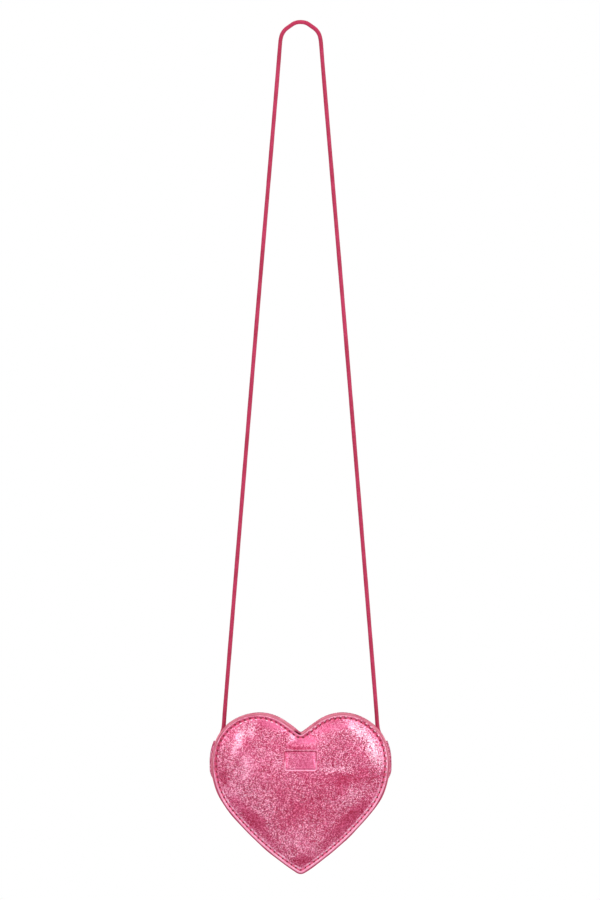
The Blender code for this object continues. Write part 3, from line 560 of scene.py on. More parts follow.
def foil_leather(name, stitched=False):
    """Metallic foil on crushed leather: small cells, each at its own slight tilt and tone, with
    dark cracks between, and a painted glint on the brightest. A stitched panel is worn in places on its
    back, carries spots of painted highlight and painted shade on its front, painted highlights along its
    seam and edge, painted shade in its needle holes and behind its edge, and is smooth near its seam."""
    finish = Finish(name)
    sockets = {"Vector": finish.place, "Scale": 900.0, "Detail": 1.0}
    wander = finish.node("TexNoise", sockets).outputs["Color"]
    bent = finish.vector("MULTIPLY_ADD", wander, (0.5 * MM,) * 3, finish.place)
    flake = finish.cells(bent, CELL_RATE, "F1", "Color")
    border = Number(finish, finish.cells(bent, CELL_RATE, "DISTANCE_TO_EDGE", "Distance"))
    cracks = 1 - border.steps(0.02, 0.16)
    chance, hue, _ = finish.parts(flake)
    cloud = finish.noise(55.0, 3.0, 0.6)
    grit = finish.noise(2600.0, 2.0, 0.6)
    grain = finish.noise(75.0).steps(0.30, 0.55) * 0.4 + 0.6
    tone = 0.37 + (cloud - 0.5) * 0.60
    if stitched:
        along, out, behind = finish.marks()
        lower = 1 - finish.z.steps(HEART_Z - 0.032, HEART_Z - 0.004)
        glint = finish.noise(210.0).steps(0.38, 0.66)
        grain = grain * ((0 - out).steps(0.3, 3.2) * 0.6 + 0.4)
        front = 1 - finish.y.steps(-0.005, 0.005)
        worn = (finish.noise(38.0, 3.0).steps(0.35, 0.75) - 0.4) * 0.35 * (1 - front)
        # spots of painted highlight and painted shade on the front join the back's random wear in worn
        for *oval, strength, flat in PAINTED_LIGHT_SPOTS:
            spot = finish.spot(*oval) * front
            worn = worn + spot * strength
            if flat:
                grain = grain * (1 - spot * flat)
        # painted highlight in a band just inside the seam, glinting and strongest on the lower flanks
        inside = (0 - out).band(0.1, 0.5, 1.3, 2.3)
        worn = worn + inside * (glint * lower * 0.28 + lower * 0.12 + 0.06)
        sunk, rim, shade = finish.pressed_lines()
        grain = grain * (1 - sunk * 0.55)
        # worn brings the back's wear and the front's painted highlights and painted shade into the tone
        tone = tone + worn * 1.35 + sunk * 0.15
    tone = tone + (chance - 0.5) * 2.0 * grain - cracks * 0.34 * grain + (grit - 0.5) * 0.40
    colour = finish.layers(
        DEEP,
        (tone.steps(0.0, 0.5), PINK),
        (tone.steps(0.5, 1.05), PALE),
        # painted glint, near-white, on the brightest cells and on the painted highlights
        (tone.steps(1.05, 1.7), GLEAM),
        (hue.steps(0.55, 1.0) * 0.30 * grain, MAUVE),
        ((1 - hue).steps(0.55, 1.0) * 0.30 * grain, ROSE),
    )
    metallic = FOIL_METAL
    roughness = 0.30 + cracks * 0.15
    height = grit * 0.4 - cracks * 0.6 * grain
    if stitched:
        height = height * (1 - sunk * 0.5) - sunk * 1.3 + rim * 1.1
        # the pucker's painted highlight faces the light from the left: inside the seam, but outside it on
        # the upper right half
        right = finish.x.steps(-0.008, 0.008)
        hole, pucker_highlight = stitch_holes(along, out, lower, 1 - right * (1 - lower) * 1.85)
        pucker_highlight = pucker_highlight * finish.noise(170.0, 1.0).steps(0.36, 0.54)
        furrow = 1 - out.maths("ABSOLUTE").steps(0.15, 0.85)
        # painted highlight: a pale line outside the seam on the lower flanks
        pale_edge_highlight = out.band(0.5, 0.8, 1.05, 1.35) * lower
        # uneven strength of the painted highlight along the panel's round edge
        edge_highlight = finish.noise(110.0).steps(0.35, 0.65) * 0.42 + 0.14
        # painted shade on the rear half of the panel's edge, in the gap before the flange
        rear_edge_shade = behind.steps(0.12, 0.45)
        colour = finish.layers(
            colour,
            (shade.clipped() * 0.75, PRESSED_SHADE),
            # painted highlight over the frame's lower edges
            ((0 - shade).clipped() * 0.65, PALE),
            # the seam's furrow in deep pink, made lighter on the lower flanks by painted highlight
            (furrow * (lower * 0.4 + 0.45), finish.layers(FURROW_ABOVE, (lower, FURROW_BELOW))),
            # painted highlight on the rolled leather just outside the seam, on the lower flanks
            (out.steps(0.3, 0.8) * lower * 0.65, ROLLED_EDGE_HIGHLIGHT),
            # painted highlight, glinting, as a pale line outside the seam
            (pale_edge_highlight * (glint * 0.36 + 0.14), PALE_EDGE_HIGHLIGHT),
            # painted highlight along the panel's round edge
            (out.steps(1.25, 1.55) * edge_highlight, EDGE_HIGHLIGHT),
            # painted shade behind the panel's edge
            (rear_edge_shade * 0.95, REAR_EDGE_SHADE),
            # painted highlight on the pucker beside each hole
            (pucker_highlight * 0.85, PUCKER_HIGHLIGHT),
            # painted shade in the needle holes
            (hole, HOLE_SHADE),
        )
        roughness = roughness + hole * 0.4
        metallic = FOIL_METAL - hole * 0.8 - rear_edge_shade * 0.7 - pucker_highlight * 0.3
        metallic = metallic - lower * (out.steps(0.3, 1.4) * 0.45 + furrow * 0.4)
    tilt = finish.vector("SUBTRACT", flake, (0.5, 0.5, 0.5))
    tilt = finish.vector("MULTIPLY", tilt, grain * 0.42)
    upright = finish.node("NewGeometry").outputs["Normal"]
    facet = finish.vector("NORMALIZE", finish.vector("ADD", upright, tilt))
    return finish.shade(colour, roughness, (height, 0.2 * MM, 0.6, facet), Metallic=metallic)


def stitch_holes(along, out, lower, inward):
    """1 in the needle holes, midway between whole numbers of stitches along the seam, and 1 on
    the pucker beside each, where a painted highlight goes, inside the seam where inward is above 0."""
    place = (along - along.maths("FLOOR") - 0.5) * (PITCH / MM)
    distance = place * place * (lower * 0.3 + 0.32) + out * out * (1.0 - lower * 0.15)
    away = out + inward * 1.05
    beside = place * place * 0.6 + away * away * 1.9
    return 1 - distance.steps(0.15, 0.54), 1 - beside.steps(0.02, 0.55)


def flange_side():
    """The leather's raw inner side on the turned-out edges: matt, drawn into fine layers along
    the edge, with short fibres, painted shade over the lower half, and painted shade on the rim and deep
    in the pocket beside the notch."""
    finish = Finish("flange_inner_side")
    out, pocket, along = finish.marks()
    fibre = finish.noise(1500.0, 3.0, 0.7)
    layer = finish.noise(1.0, 2.0, 0.6, vector=finish.joined(along * 0.10, out * 2.6))
    tone = fibre * 0.35 + finish.noise(160.0) * 0.35 + (layer - 0.5) * 2.4 + 0.12
    lower = 1 - finish.z.steps(HEART_Z - 0.030, HEART_Z + 0.002)
    rim = pocket.steps(0.001, 0.02) * out.steps(2.9, 3.2)
    colour = finish.layers(
        (0.56, 0.085, 0.158),
        (tone.clipped(), (0.93, 0.34, 0.44)),
        # painted shade on the lower half of the flanges
        (lower * 0.85, (0.48, 0.030, 0.11)),
        # painted shade on the flange's outer rim beside the pocket at the notch
        (rim * 0.8, (0.55, 0.045, 0.15)),
        # painted shade deep in the pocket beside the notch
        (pocket.steps(0.12, 0.45), (0.11, 0.001, 0.010)),
    )
    bump = fibre * 0.5 + layer * 2.0, 0.2 * MM, 0.6
    return finish.shade(colour, 0.82, bump, Sheen_Weight=0.08, Specular_IOR_Level=0.3)


def cord_leather(length):
    """Thin strip of smooth leather rolled to a cord: darker at its closed seam, with a worn
    lighter band, fine wrinkles across, and painted shade near both ends."""
    finish = Finish("cord_leather_finish")
    along, turn, _ = finish.marks()
    cross = finish.noise(4.0, 3.0, 0.6, vector=finish.joined(along * 260.0, turn * 1.4))
    tone = finish.noise(90.0, 3.0)
    worn = finish.noise(900.0, 3.0, 0.6)
    seam = turn.maths("ABSOLUTE").steps(2.95, 3.12)
    free = along.band(0.005, 0.011, length - 0.011, length - 0.005)
    band = (tone * 0.6 + worn * 0.5).steps(0.35, 0.8)
    colour = finish.layers(
        (0.38, 0.007, 0.050),
        (band, (0.53, 0.028, 0.104)),
        # painted shade over the last 5 to 11 mm of each end, where the cord meets the bag
        ((1 - free) * 0.75, (0.24, 0.006, 0.030)),
        (seam * 0.8, (0.16, 0.012, 0.035)),
    )
    bump = cross * 0.6 + worn * 0.4 - seam * 1.5, 0.22 * MM, 0.6
    return finish.shade(colour, 0.40 + worn * 0.2, bump, Specular_IOR_Level=0.35)


def thread_finish():
    """Waxed thread: two plies twisted together, seen as slanted bands."""
    finish = Finish("seam_thread_finish")
    along, turn, _ = finish.marks()
    lit = ((along * 9.0 + turn * 2.0).maths("SINE") * 0.5 + 0.5).clipped()
    colour = finish.layers((0.52, 0.030, 0.095), (lit, (0.84, 0.11, 0.22)))
    return finish.shade(colour, 0.45, (lit, 0.08 * MM, 0.6))


def gold_finish():
    """Light gold plating, brushed by handling: fine scratches and duller recesses."""
    finish = Finish("zip_gold_finish")
    sockets = {"Vector": finish.place, "Scale": (1.0, 9.0, 1.0)}
    stretched = finish.node("Mapping", sockets).outputs[0]
    scratch = finish.noise(900.0, 4.0, 0.7, vector=stretched)
    tarnish = finish.noise(260.0, 3.0)
    colour = finish.layers((0.62, 0.42, 0.19), (tarnish.steps(0.35, 0.75), (0.84, 0.66, 0.38)))
    roughness = 0.18 + scratch * 0.22 + tarnish * 0.08
    return finish.shade(colour, roughness, (scratch, 0.04 * MM, 0.4), Metallic=1.0)


def woven(name, warp, weft, thread_size):
    """Plain weave on Object coordinates: two crossed sine waves of the thread's size."""
    finish = Finish(name)
    rate = 2 * math.pi / thread_size
    waves = ((finish.x + finish.z) * rate).maths("SINE") * (finish.y * rate).maths("SINE")
    over = (waves * 0.5 + 0.5).clipped()
    slub = finish.noise(500.0, 3.0)
    colour = finish.layers(warp, (over * 0.7 + slub * 0.3, weft))
    return finish.shade(colour, 0.88, (over + slub * 0.3, thread_size * 0.35, 0.7), Sheen_Weight=0.15)


def cut_edge():
    """Painted leather edge: smooth, slightly uneven paint."""
    finish = Finish("painted_edge")
    uneven = finish.noise(480.0, 3.0)
    colour = finish.layers((0.50, 0.075, 0.15), (uneven, (0.70, 0.17, 0.29)))
    return finish.shade(colour, 0.5 + uneven * 0.15, (uneven, 0.2 * MM, 0.5))


def felt():
    """Pale wadding of tangled fibres."""
    finish = Finish("wadding_finish")
    fibre = finish.noise(1400.0, 4.0, 0.8, 1.5)
    colour = finish.layers((0.70, 0.68, 0.63), (fibre, (0.88, 0.87, 0.84)))
    return finish.shade(colour, 0.95, (fibre, 0.4 * MM, 0.7))


def board():
    """Grey stiffening board with a flecked surface."""
    finish = Finish("board_finish")
    pulp = finish.noise(800.0, 4.0, 0.7)
    colour = finish.layers((0.34, 0.32, 0.29), (pulp, (0.50, 0.48, 0.45)))
    return finish.shade(colour, 0.9, (pulp, 0.2 * MM, 0.5))


# Leather panels

# The mark of points far inside the seam, and the rings of points beside it
FAR_INSIDE = -9 * MM
RINGS_OUTSIDE = np.array([1.2, 0.95, 0.75, 0.55, 0.40, 0.26, 0.13, 0.0]) * MM
RINGS_INSIDE = np.array([0.13, 0.26, 0.40, 0.55, 0.75, 1.0, 1.3, 1.7, 2.1, 2.5]) * MM

# Hollows and swellings left by wear: x, z from the lobes' line, width along, width across (mm),
# turn (degrees), height (mm)
DENTS = (
    (38, -8, 26, 5, 4, -0.55),
    (34, -34, 24, 5.5, 50, -0.45),
    (-30, -36, 24, 6, -50, -0.40),
    (2, -34, 30, 9, 0, -0.35),
    (-42, 4, 9, 6, 60, 0.35),
    (-30, 16, 12, 6, 30, 0.30),
    (45, 6, 12, 5, 70, 0.35),
    (20, -52, 14, 5, 45, 0.30),
    (-18, -10, 16, 10, 10, 0.20),
    (0, 8, 14, 5, 0, 0.30),
)


def mean_distance(x, z):
    """Mean distance from a point to the stitch line, by the power -4 so that near parts count most."""
    square = (x[:, None] - WHOLE_SEAM[0]) ** 2 + (z[:, None] - WHOLE_SEAM[1]) ** 2
    return np.mean(np.maximum(square, (0.01 * MM) ** 2) ** -2.0, axis=1) ** -0.25


CROWN_CENTRE = np.zeros(1), np.full(1, -CROWN_DROP)
MIDDLE_DISTANCE = mean_distance(*CROWN_CENTRE)


def crown(x, z):
    """Height of the padded front, as on the solids. near is the mean distance from the seam over
    that of the crown's centre."""
    near = np.minimum(mean_distance(x, z) / MIDDLE_DISTANCE, 1)
    return CROWN_HEIGHT * (1 - (1 - near) ** 1.3)


def relief(x, z):
    """Height of the dents, each a bell along times a bell across, and of a fine ripple."""
    x, z = x / MM, z / MM
    total = np.zeros_like(x)
    for px, pz, length, width, turn, height in DENTS:
        c, s = math.cos(math.radians(turn)), math.sin(math.radians(turn))
        along = (x - px) * c + (z - pz) * s
        across = (z - pz) * c - (x - px) * s
        total += height * MM * bell(along, length) * bell(across, width)
    ripple = np.sin(x * 0.31 + 1.3) * np.sin(z * 0.27 + 0.4)
    ripple += 0.6 * np.sin(x * 0.53 + z * 0.41) * np.sin(z * 0.61 - x * 0.37 + 2.0)
    return total + 0.10 * MM * ripple


def pressed_frame(x, z):
    """A plain pressed rectangle with round corners: sunk inside, with a raised lip and an inner
    line. distance is that outside its edge."""
    qx = np.abs(x) - (FRAME_HALF_X - FRAME_CORNER)
    qz = np.abs(z + FRAME_DROP) - (FRAME_HALF_Z - FRAME_CORNER)
    outside = np.hypot(np.maximum(qx, 0), np.maximum(qz, 0))
    distance = outside + np.minimum(np.maximum(qx, qz), 0) - FRAME_CORNER
    sunk = -0.32 * MM * smooth(0.5 - distance / (0.7 * MM))
    lip = 0.22 * MM * bell(distance - 0.65 * MM, 0.45 * MM)
    line = 0.20 * MM * bell(distance + 1.7 * MM, 0.40 * MM)
    return sunk + lip + line


def edge_profile():
    """The panel's round edge from back to front, as (out, depth behind the front face)."""
    corner = 0.55 * MM
    turn = np.radians([90, 60, 30, 0])
    out = PANEL_OUT - corner + corner * np.cos(turn)
    back = PANEL_PLY - corner + corner * np.sin(turn)
    front = corner - corner * np.sin(turn[::-1])
    return list(zip(out, back)) + list(zip(out[::-1], front))


def seam_dip(s, out):
    """How deep the seam draws the leather in: a furrow along it, deeper at each needle hole."""
    stitch = s / PITCH
    near = (stitch - np.floor(stitch) - 0.5) * PITCH
    furrow = 0.26 * MM * bell(out, 0.50 * MM)
    return furrow + 0.55 * MM * bell(near, 0.55 * MM) * bell(out, 0.34 * MM)


def make_panel(name, facing):
    """A heart panel as one closed skin of rings: back, round edge, seam and face. The front one
    is crowned, with the frame pressed into it."""
    crowned = facing < 0
    x, z, angle = WHOLE_SEAM
    reach = x * np.cos(angle) + (z + CROWN_DROP) * np.sin(angle)
    rings, marks = [], []

    def rise(share, x, z):
        worn = relief(x, z) * smooth((1 - share) / 0.14)
        if crowned:
            return crown(x, z) + worn + pressed_frame(x, z)
        return 0.35 * MM * (1 - share**4) + 0.5 * worn

    def add(s, place, height, out, behind=0.0):
        x, z = place
        rings.append(at_heart(x, facing * (PANEL_FACE + height), z))
        marks.append(np.stack(np.broadcast_arrays(s / PITCH, out / MM, behind / MM), -1))

    s = EVEN_SEAM[::4]
    for share in (0.25, 0.5, 0.72, 0.88, 0.97):
        place = drawn_in(s, share)
        add(s, place, (crown(*place) if crowned else 0) - PANEL_PLY, FAR_INSIDE, PANEL_PLY)
    s = EVEN_SEAM
    # behind marks the rear half of the edge, where the stitched finish paints shade
    for out, behind in edge_profile():
        add(s, beside_seam(s, out), -behind, out, behind)
    for out in RINGS_OUTSIDE:
        add(s, beside_seam(s, out), -seam_dip(s, out), out)
    for inner in RINGS_INSIDE:
        share = 1 - inner / reach
        place = drawn_in(s, share)
        add(s, place, rise(share, *place) - seam_dip(s, -inner), -inner)
    s, reach = EVEN_SEAM[::3], reach[::3]
    first = 1 - 2.9 * MM / reach
    for share in first * np.linspace(1, 0, 112)[:-1, None]:
        place = drawn_in(s, share)
        add(s, place, rise(share, *place), -reach * (1 - share))

    back = facing * (PANEL_FACE - PANEL_PLY + (CROWN_HEIGHT if crowned else 0))
    front = facing * (PANEL_FACE + rise(0.0, *CROWN_CENTRE)[0])
    points, faces = skin(rings, (0, back, CENTRE_Z), (0, front, CENTRE_Z))
    faces = turned(faces) if facing > 0 else faces
    marks = np.concatenate([*marks, [[0, FAR_INSIDE / MM, 0]] * 2])
    make_piece(f"{name}_leather", points, faces, STITCHED, LEATHER, [f"{name}_panel"], marks)


# Strips of leather and cloth

def swept(name, s, out, y, finish, slot, replaced, is_cut=None, marks=None, table=SEAM):
    """A strip: each station s of the outline carries a row of points, at distances out from it
    and at y. Cells where is_cut is true are left out."""
    x, z, angle = (part[:, None] for part in on_seam(s, table))
    points = at_heart(x + out * np.cos(angle), y, z + out * np.sin(angle))
    faces = grid_faces(*out.shape)
    if is_cut is not None:
        used, faces = np.unique(np.array(faces)[~is_cut.ravel()], return_inverse=True)
        points, faces = points.reshape(-1, 3)[used], faces.reshape(-1, 4).tolist()
        marks = None if marks is None else marks.reshape(-1, 3)[used]
    return make_piece(name, points, faces, finish, slot, replaced, marks)


def channel(s, flange, lap=0.0, window=5.0 * MM):
    """Rows of a channel section, front flange to back flange. lap is how far the wall is sunk,
    and window half the width of the zip's window."""
    fold = 1.2 * MM
    turn = np.radians(np.linspace(90, 0, 6))
    flange, lap, window = (np.broadcast_to(size, s.shape)[:, None] for size in (flange, lap, window))
    wide = HALF_CHANNEL - fold
    runs = (
        (fold + (flange - fold) * np.linspace(1, 0, 8)[:-1], -HALF_CHANNEL),
        (fold - fold * np.cos(turn) - lap * (1 - np.sin(turn)), fold - fold * np.sin(turn) - HALF_CHANNEL),
        (-lap, -(wide + (window - wide) * np.linspace(0, 1, 9)[1:])),
        (-lap, -window * np.linspace(1, 0, 5)[1:]),
    )
    out, y = (np.concatenate(part, 1) for part in zip(*(np.broadcast_arrays(*run) for run in runs)))
    return np.concatenate([out, out[:, -2::-1]], 1), np.concatenate([y, -y[:, -2::-1]], 1)


def soft_wall(s, y, angle):
    """Slight waves of the wall between its folds, none under the tabs or at the lap."""
    angle = np.degrees(angle)
    free = smooth((-21 - angle) / 8) + smooth((angle - 27) / 8)
    wave = np.sin(s / (7.3 * MM)) + 0.7 * np.sin(s / (4.1 * MM) + 2.0)
    across = np.clip(1 - (y / (9.5 * MM)) ** 2, 0, 1)
    return 0.16 * MM * wave[:, None] * free[:, None] * across


def make_gusset():
    """The side strip of the lower half, its edges turned out a little further at the hips."""
    low = length_at(GUSSET_TOP)
    s = np.linspace(low, 2 * HALF_SEAM - low, 420)
    angle = side_angle(s)
    flange = (2.8 + 0.5 * np.exp(-(((np.degrees(angle) + 8) / 20) ** 4))) * MM
    flange = flange + 0.10 * MM * np.sin(s / (5.3 * MM)) + 0.06 * MM * np.sin(s / (2.7 * MM))
    out, y = channel(s, flange)
    out = out + soft_wall(s, y, angle)
    marks = np.stack([out / MM, y * 0, s[:, None] / MM + 0 * y], -1)
    gusset = swept("side_gusset", s, out, y, STRIP, LEATHER, ["gusset"], None, marks)
    thicken(gusset, PLY, True)


def make_zip_strip():
    """The side strip of the upper half, with the zip's window along its middle, its ends tucked
    under the gusset, and its front edge sagging into a pocket left of the notch."""
    high = length_at_degrees(6)
    s = np.linspace(-high, high, 460)
    angle = side_angle(s)
    start = GUSSET_TOP + 0.3 * MM / LOBE_R
    tucked = smooth((start + math.radians(4) - angle) / math.radians(4))
    flange = (3.45 + 0.25 * bell(np.degrees(angle) - 110, 22)) * MM - tucked * 0.6 * MM
    flange = flange + 0.6 * MM * bell(s + 11 * MM, 9 * MM)
    flange = flange + 0.12 * MM * np.sin(s / (4.9 * MM) + 1) * smooth((np.abs(s) - 9 * MM) / (6 * MM))
    end = length_at(WINDOW_END)
    beyond = np.clip((np.abs(s) - end) / (1.6 * MM) + 1, 0, 1)
    window = (5.0 - 1.6 * (1 - np.sqrt(1 - beyond**2))) * MM
    out, y = channel(s, flange, tucked * 1.3 * MM, window)
    out = out + soft_wall(s, y, angle) * smooth((angle - math.radians(27)) / 0.1)[:, None]
    sagging = (smooth((2.0 * MM - s) / (1.2 * MM)) * smooth((8.8 * MM + s) / (4.4 * MM)))[:, None]
    pocket = bell(out - 2.2 * MM, 0.35 * MM + 0.65 * MM * sagging) * (y < -10 * MM) * sagging
    # the pocket's share goes into the marks, and the flange's finish paints shade into it
    marks = np.stack([out / MM, pocket, s[:, None] / MM + 0 * y], -1)
    y = y + 0.7 * MM * pocket
    mid = (np.abs(s[1:]) + np.abs(s[:-1])) / 2
    middle_y = np.abs((y[:-1, 1:] + y[:-1, :-1]) / 2)
    in_window = (middle_y < window[:-1, None]) & (mid < end)[:, None]
    low_flange = (middle_y > HALF_CHANNEL - 1.15 * MM) & (angle[1:] < start)[:, None]
    cut = in_window | low_flange
    strip = swept("zip_strip", s, out, y, STRIP, LEATHER, ["zip_panel"], cut, marks)
    thicken(strip, PLY, True)


def parting(s):
    """How far each row of teeth is pushed aside behind the slider, as on the solids."""
    travel = (LOBE_R - ROW_DEPTH) * (side_angle(s) - SLIDER_ANGLE)
    spread = ROW_SPREAD * smooth((0.18 * SLIDER_LENGTH - travel) / (0.38 * SLIDER_LENGTH))
    return np.where(s < 0, spread, 0)


def make_tapes():
    """Woven tapes under the window's edges. Their inner edge follows the row of teeth."""
    end = length_at_degrees(45)
    s = np.linspace(-end, end, 420)
    near = (2.5 * MM + parting(s))[:, None]
    for name, side in FRONT_BACK:
        y = near + (9.1 * MM - near) * np.linspace(0, 1, 7)
        y = side * y[:, ::side]
        out = np.full(y.shape, -1.3 * MM)
        name = "zip_tape_" + name
        piece = swept("woven_" + name, s, out, y, TAPE, "zip_tape_cloth", [name])
        thicken(piece, 0.6 * MM, rounding=0.12 * MM)


def tab_half(s):
    """Half the tab's width in millimetres, narrowing towards its lower end."""
    return 7.0 - 2.5 * smooth((-4 - np.degrees(side_angle(s))) / 15)


def make_tabs():
    """A leather tab sewn over each end of the cord: flat wings, round corners, and a ridge over
    the cord that fades below its end."""
    top, bottom = length_at_degrees(TAB_TOP), length_at_degrees(TAB_BOTTOM)
    radius = CORD_D / 2
    s = np.linspace(top, bottom, 90)
    ridge = smooth((np.degrees(side_angle(s)) - TAB_BOTTOM) / 15)[:, None]
    half = tab_half(s) * MM
    for edge, corner in ((top, 1.8 * MM), (bottom, 2.6 * MM)):
        near = np.clip(1 - np.abs(s - edge) / corner, 0, 1)
        half = half - corner * (1 - np.sqrt(1 - near**2))
    share = np.linspace(-1, 1, 41)
    y = half[:, None] * share
    dome = 2.24 * radius * (1 - smooth((np.abs(y) / radius - 0.45) / 1.55))
    out = 0.3 * MM + ridge * dome + 0.06 * MM * np.sin(s / (2.3 * MM))[:, None] * (1 - share**2)
    out = out + 0.10 * MM * (1 - share**2)
    for name, side in RIGHT_LEFT:
        rows = (side * s)[::side], out[::side], y[::side]
        piece = swept("cord_tab_" + name, *rows, FOIL, LEATHER, ["side_tab_" + name])
        thicken(piece, PLY, offset=1)


# Lining and padding

def closed_sheet(table, front, back):
    """A thin heart-shaped skin between two depths, slack in low waves."""
    s = np.linspace(-table[0][-1], table[0][-1], 481)[:-1]
    rings = []
    for depth, shares in ((front, np.linspace(0, 1, 22)[1:]), (back, np.linspace(1, 0, 22)[:-1])):
        for share in shares:
            x, z = drawn_in(s, share, table)
            wave = np.sin(x / (8.1 * MM)) * np.sin(z / (9.7 * MM) + 1) * (1 - share**4)
            rings.append(at_heart(x, depth + 0.12 * MM * wave, z))
    points, faces = skin(rings, (0, front, CENTRE_Z), (0, back, CENTRE_Z))
    return points, turned(faces)


def make_linings():
    """The lining of both panels, and of the side strip with a slot along the zip."""
    inset = seam_table(-2.6 * MM, 3.0 * MM)
    for name, front in (("front_lining", -10.4 * MM), ("back_lining", 10.0 * MM)):
        points, faces = closed_sheet(inset, front, front + 0.4 * MM)
        cloth = make_piece("twill_" + name, points, faces, LINING, "lining_cloth", [name])
        flat = np.ptp(points[:, 0]), np.ptp(points[:, 2])
    end = inset[0][-1] - 9 * MM
    s = np.linspace(-end, end, 520)
    slot_end = length_at(WINDOW_END, inset)
    lobe = np.abs(s) < slot_end
    edge, slot_edge = 9.7, 6.2
    side = np.linspace(slot_edge, edge, 6)
    y = np.concatenate([-side[::-1], np.linspace(-slot_edge, slot_edge, 8)[1:-1], side]) * MM
    out = 0.12 * MM * np.sin(s / (5.0 * MM))[:, None] * np.cos(y / (edge * MM) * 1.5)
    between = np.abs((y[1:] + y[:-1]) / 2) < slot_edge * MM
    in_slot = between[None, :] & (lobe[1:] & lobe[:-1])[:, None]
    cloth = LINING, "lining_cloth", ["gusset_lining"]
    strip = swept("twill_side_lining", s, out, y, *cloth, in_slot, table=inset)
    thicken(strip, 0.4 * MM, rounding=0.08 * MM)
    length = 2 * end
    slot = 2 * slot_end * 12.4 * MM
    19.4 * MM * length - slot


def make_padding():
    """Wadding behind the front panel, domed as the panel is, with loose folds on both faces."""
    s = np.linspace(-HALF_SEAM, HALF_SEAM, 481)[:-1]
    rings = []

    def wad(share, depth):
        x, z = drawn_in(s, share * 0.90)
        loose = np.sin(x / (3.7 * MM)) * np.sin(z / (4.3 * MM) + 0.6) * smooth((1 - share) / 0.2)
        rings.append(at_heart(x, depth + 0.10 * MM * loose, z))

    top = -HALF_CHANNEL - 0.9 * MM
    for share in np.linspace(0.04, 1, 12):
        wad(share, -HALF_CHANNEL)
    for share in np.linspace(1, 0.03, 40):
        wad(share, top - crown(*drawn_in(s, share)))
    points, faces = skin(rings, (0, -HALF_CHANNEL, CENTRE_Z), (0, top - CROWN_HEIGHT, CENTRE_Z))
    pad = make_piece("wadding_pad", points, faces, FELT, "wadding", ["front_padding"])


# Strap

# Points x, z along the cord from the hook to its end under the tab
ROUTE = (
    (0.0000, 0.00145), (0.0041, 0.00030), (0.0076, -0.00270), (0.0108, -0.00560),
    (0.0130, -0.00860), (0.0140, -0.01200), (0.0145, -0.01700), (0.0155, -0.02950),
    (0.0183, -0.06300), (0.0297, -0.19740), (0.0408, -0.33180), (0.0518, -0.46620),
    (0.0532, -0.48400), (0.0537, -0.49100), (0.0542, -0.49480),
    *(
        (LOBE_X + CORD_CIRCLE * math.cos(turn), HEART_Z + CORD_CIRCLE * math.sin(turn))
        for turn in (LEAVE_ANGLE, 0.485, 0.430, CORD_END_ANGLE)
    ),
)
CREST_SETTLE = 1.05 * MM
CREST_REACH = 7.0 * MM
CORD_STEP = 1.5 * MM


def lengths_along(line):
    return np.concatenate([[0], np.cumsum(np.linalg.norm(np.diff(line, axis=0), axis=1))])


def strap_line():
    """Even points on a smooth curve through the route, on both sides, and its length. Between
    two points it is the cubic whose slopes follow the neighbours' chords. The limp cord settles
    at its crest and fills out at the shoulders, as far as twice CREST_REACH."""
    route = np.array(ROUTE)
    share = (route[:, 0] / CREST_REACH) ** 2
    route[:, 1] -= CREST_SETTLE * (1 - share) * np.maximum(0, 1 - share / 4)
    before = route[1] * (-1, 1)
    after = 2 * route[-1] - route[-2]
    knots = np.vstack([before, route, after])
    dense = [route[:1]]
    t = np.arange(1, 25)[:, None] / 24
    for first, start, end, last in zip(knots, knots[1:], knots[2:], knots[3:]):
        chord = np.linalg.norm(end - start)
        leave = chord * (end - first) / (chord + np.linalg.norm(start - first))
        arrive = chord * (last - start) / (np.linalg.norm(last - end) + chord)
        point = (2 * t**3 - 3 * t**2 + 1) * start + (t**3 - 2 * t**2 + t) * leave
        dense.append(point + (3 * t**2 - 2 * t**3) * end + (t**3 - t**2) * arrive)
    right = np.vstack(dense)
    both = np.vstack([right[:0:-1] * (-1, 1), right])
    length = lengths_along(both)
    even = np.linspace(0, length[-1], int(length[-1] / CORD_STEP))
    x, z = (np.interp(even, length, column) for column in both.T)
    return np.stack([x, 0 * even, z], -1), length[-1]


def rolled_cord(name, line, replaced, body="bag"):
    """A round cord along a line in the XZ plane, slightly uneven in thickness."""
    step = unit(np.gradient(line, axis=0))
    upward = np.array([0.0, -1.0, 0.0]) + 0 * step
    sideways = np.cross(step, upward)
    length = lengths_along(line)
    uneven = 0.02 * np.sin(length / (9 * MM)) + 0.012 * np.sin(length / (3.3 * MM))
    radius = CORD_D / 2 * (1 + uneven)
    sides = 28
    points, faces = tubes(line[None], sideways[None], upward[None], radius[None], sides)
    turn = (np.arange(sides) + 0.5) / sides * 2 * math.pi
    marks = tube_marks(length, (turn + math.pi / 2) % (2 * math.pi) - math.pi)
    return make_piece(name, points, faces, CORD, "strap_leather", replaced, marks, body)


def make_strap():
    """The free cord, which runs between the strap and the bag, and its held ends."""
    cord = rolled_cord("strap_cord_leather", STRAP_LINE, ["strap_cord"], None)
    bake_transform(cord)
    start = CORD_END_ANGLE - 0.2 * MM / CORD_CIRCLE
    held = np.linspace(length_at(start), length_at_degrees(-4), 60)
    x, z = beside_seam(held, CORD_OFFSET)
    for name, side in RIGHT_LEFT:
        rolled_cord("cord_end_" + name, at_heart(side * x, 0.0, z), ["strap_end_" + name])


# Threads

# A stitch's profile: places along it, heights over its seat, and widths
STITCH_SHARE = np.array([-1, -0.86, -0.5, 0, 0.5, 0.86, 1.0])
STITCH_RISE = np.array([-0.95, -0.30, 0.10, 0.16, 0.10, -0.30, -0.95])
STITCH_WIDTH = np.array([0.7, 0.95, 1, 1, 1, 0.95, 0.7])


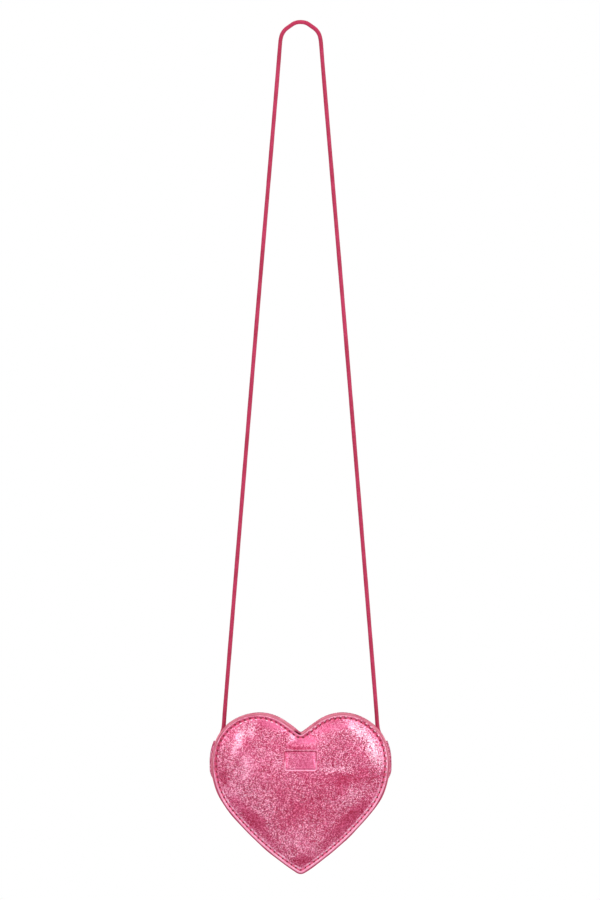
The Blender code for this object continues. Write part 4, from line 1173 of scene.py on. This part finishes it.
def stitches(name, middles, along, upward, length, thickness):
    """Sunk stitches, each a short thread that dives at both ends, given by its middle, its
    direction and its outward normal."""
    centres = middles[:, None] + STITCH_SHARE[None, :, None] * along[:, None] * length / 2
    centres = centres + (STITCH_RISE * thickness)[None, :, None] * upward[:, None]
    slope = unit(np.gradient(centres, axis=1))
    sideways = unit(np.cross(slope, upward[:, None]))
    over = np.cross(sideways, slope)
    width = (thickness / 2 * STITCH_WIDTH)[None]
    sides = 6
    points, faces = tubes(centres, sideways, over, width, sides)
    place = np.tile(STITCH_SHARE * length / 2 / MM, len(middles))
    marks = tube_marks(place, np.arange(sides) / sides * 2 * math.pi)
    make_piece(name, points, faces, THREAD, LEATHER, (), marks)


def make_threads():
    """The seams of both panels, a row along each side of the zip, and two on each tab."""
    s = -HALF_SEAM + PITCH * (np.arange(STITCH_COUNT) + 0.5)
    x, z, _, along = stations(s)
    for name, facing in FRONT_BACK:
        middles = at_heart(x, facing * (PANEL_FACE - 0.24 * MM), z)
        upward = np.zeros((len(s), 3)) + (0, facing, 0)
        stitches(f"seam_thread_{name}", middles, along, upward, 0.80 * PITCH, 0.55 * MM)

    end = length_at_degrees(47.5)
    count = int(2 * end / (2.8 * MM))
    x, z, outward, along = stations((np.arange(count) - (count - 1) / 2) * 2 * end / count)
    for name, side in FRONT_BACK:
        middles = at_heart(x, side * 6.7 * MM, z) + 0.06 * MM * outward
        stitches(f"zip_thread_{name}", middles, along, outward, 2.3 * MM, 0.45 * MM)

    s = np.linspace(length_at_degrees(20.5), length_at_degrees(-12.5), 8)
    y = (tab_half(s) - 1.7) * MM
    for name, side in RIGHT_LEFT:
        x, z, outward, along = stations(side * s)
        rows = [at_heart(x, across * y, z) + 1.36 * MM * outward for across in (-1, 1)]
        both = (np.concatenate(rows), np.tile(along, (2, 1)), np.tile(outward, (2, 1)))
        stitches(f"tab_thread_{name}", *both, 2.1 * MM, 0.45 * MM)


# The whole object

scene.view_settings.view_transform = "Standard"
make_camera()
make_world()
make_floor()
softbox("key_light", (-1.3, -1.7, 0.55), (0.6, 0.8), 15)
softbox("side_light", (1.5, -1.3, 0.25), (0.5, 0.8), 14)
softbox("top_light", (0, -0.2, 1.3), (1.2, 0.8), 8)

STRAP_LINE, STRAP_LENGTH = strap_line()
FOIL = foil_leather("pink_foil")
STITCHED = foil_leather("pink_foil_stitched", True)
STRIP = [FOIL, flange_side(), cut_edge()]
CORD = cord_leather(STRAP_LENGTH)
THREAD = thread_finish()
GOLD = gold_finish()
TAPE = woven("woven_tape", (0.30, 0.02, 0.075), (0.48, 0.06, 0.15), 0.5 * MM)
LINING = woven("lining_twill", (0.22, 0.014, 0.05), (0.36, 0.03, 0.09), 0.35 * MM)
FELT = felt()
BOARD = board()

make_strap()
for name, facing in FRONT_BACK:
    make_panel(name, facing)
make_gusset()
make_zip_strip()
make_tapes()
make_tabs()
make_linings()
make_padding()
make_threads()

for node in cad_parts.values():
    metal = any(word in node.name for word in ("zip_t", "slider", "pull", "stop"))
    if not node.hide_render:
        for material_slot in node.material_slots:
            material_slot.material = GOLD if metal else BOARD
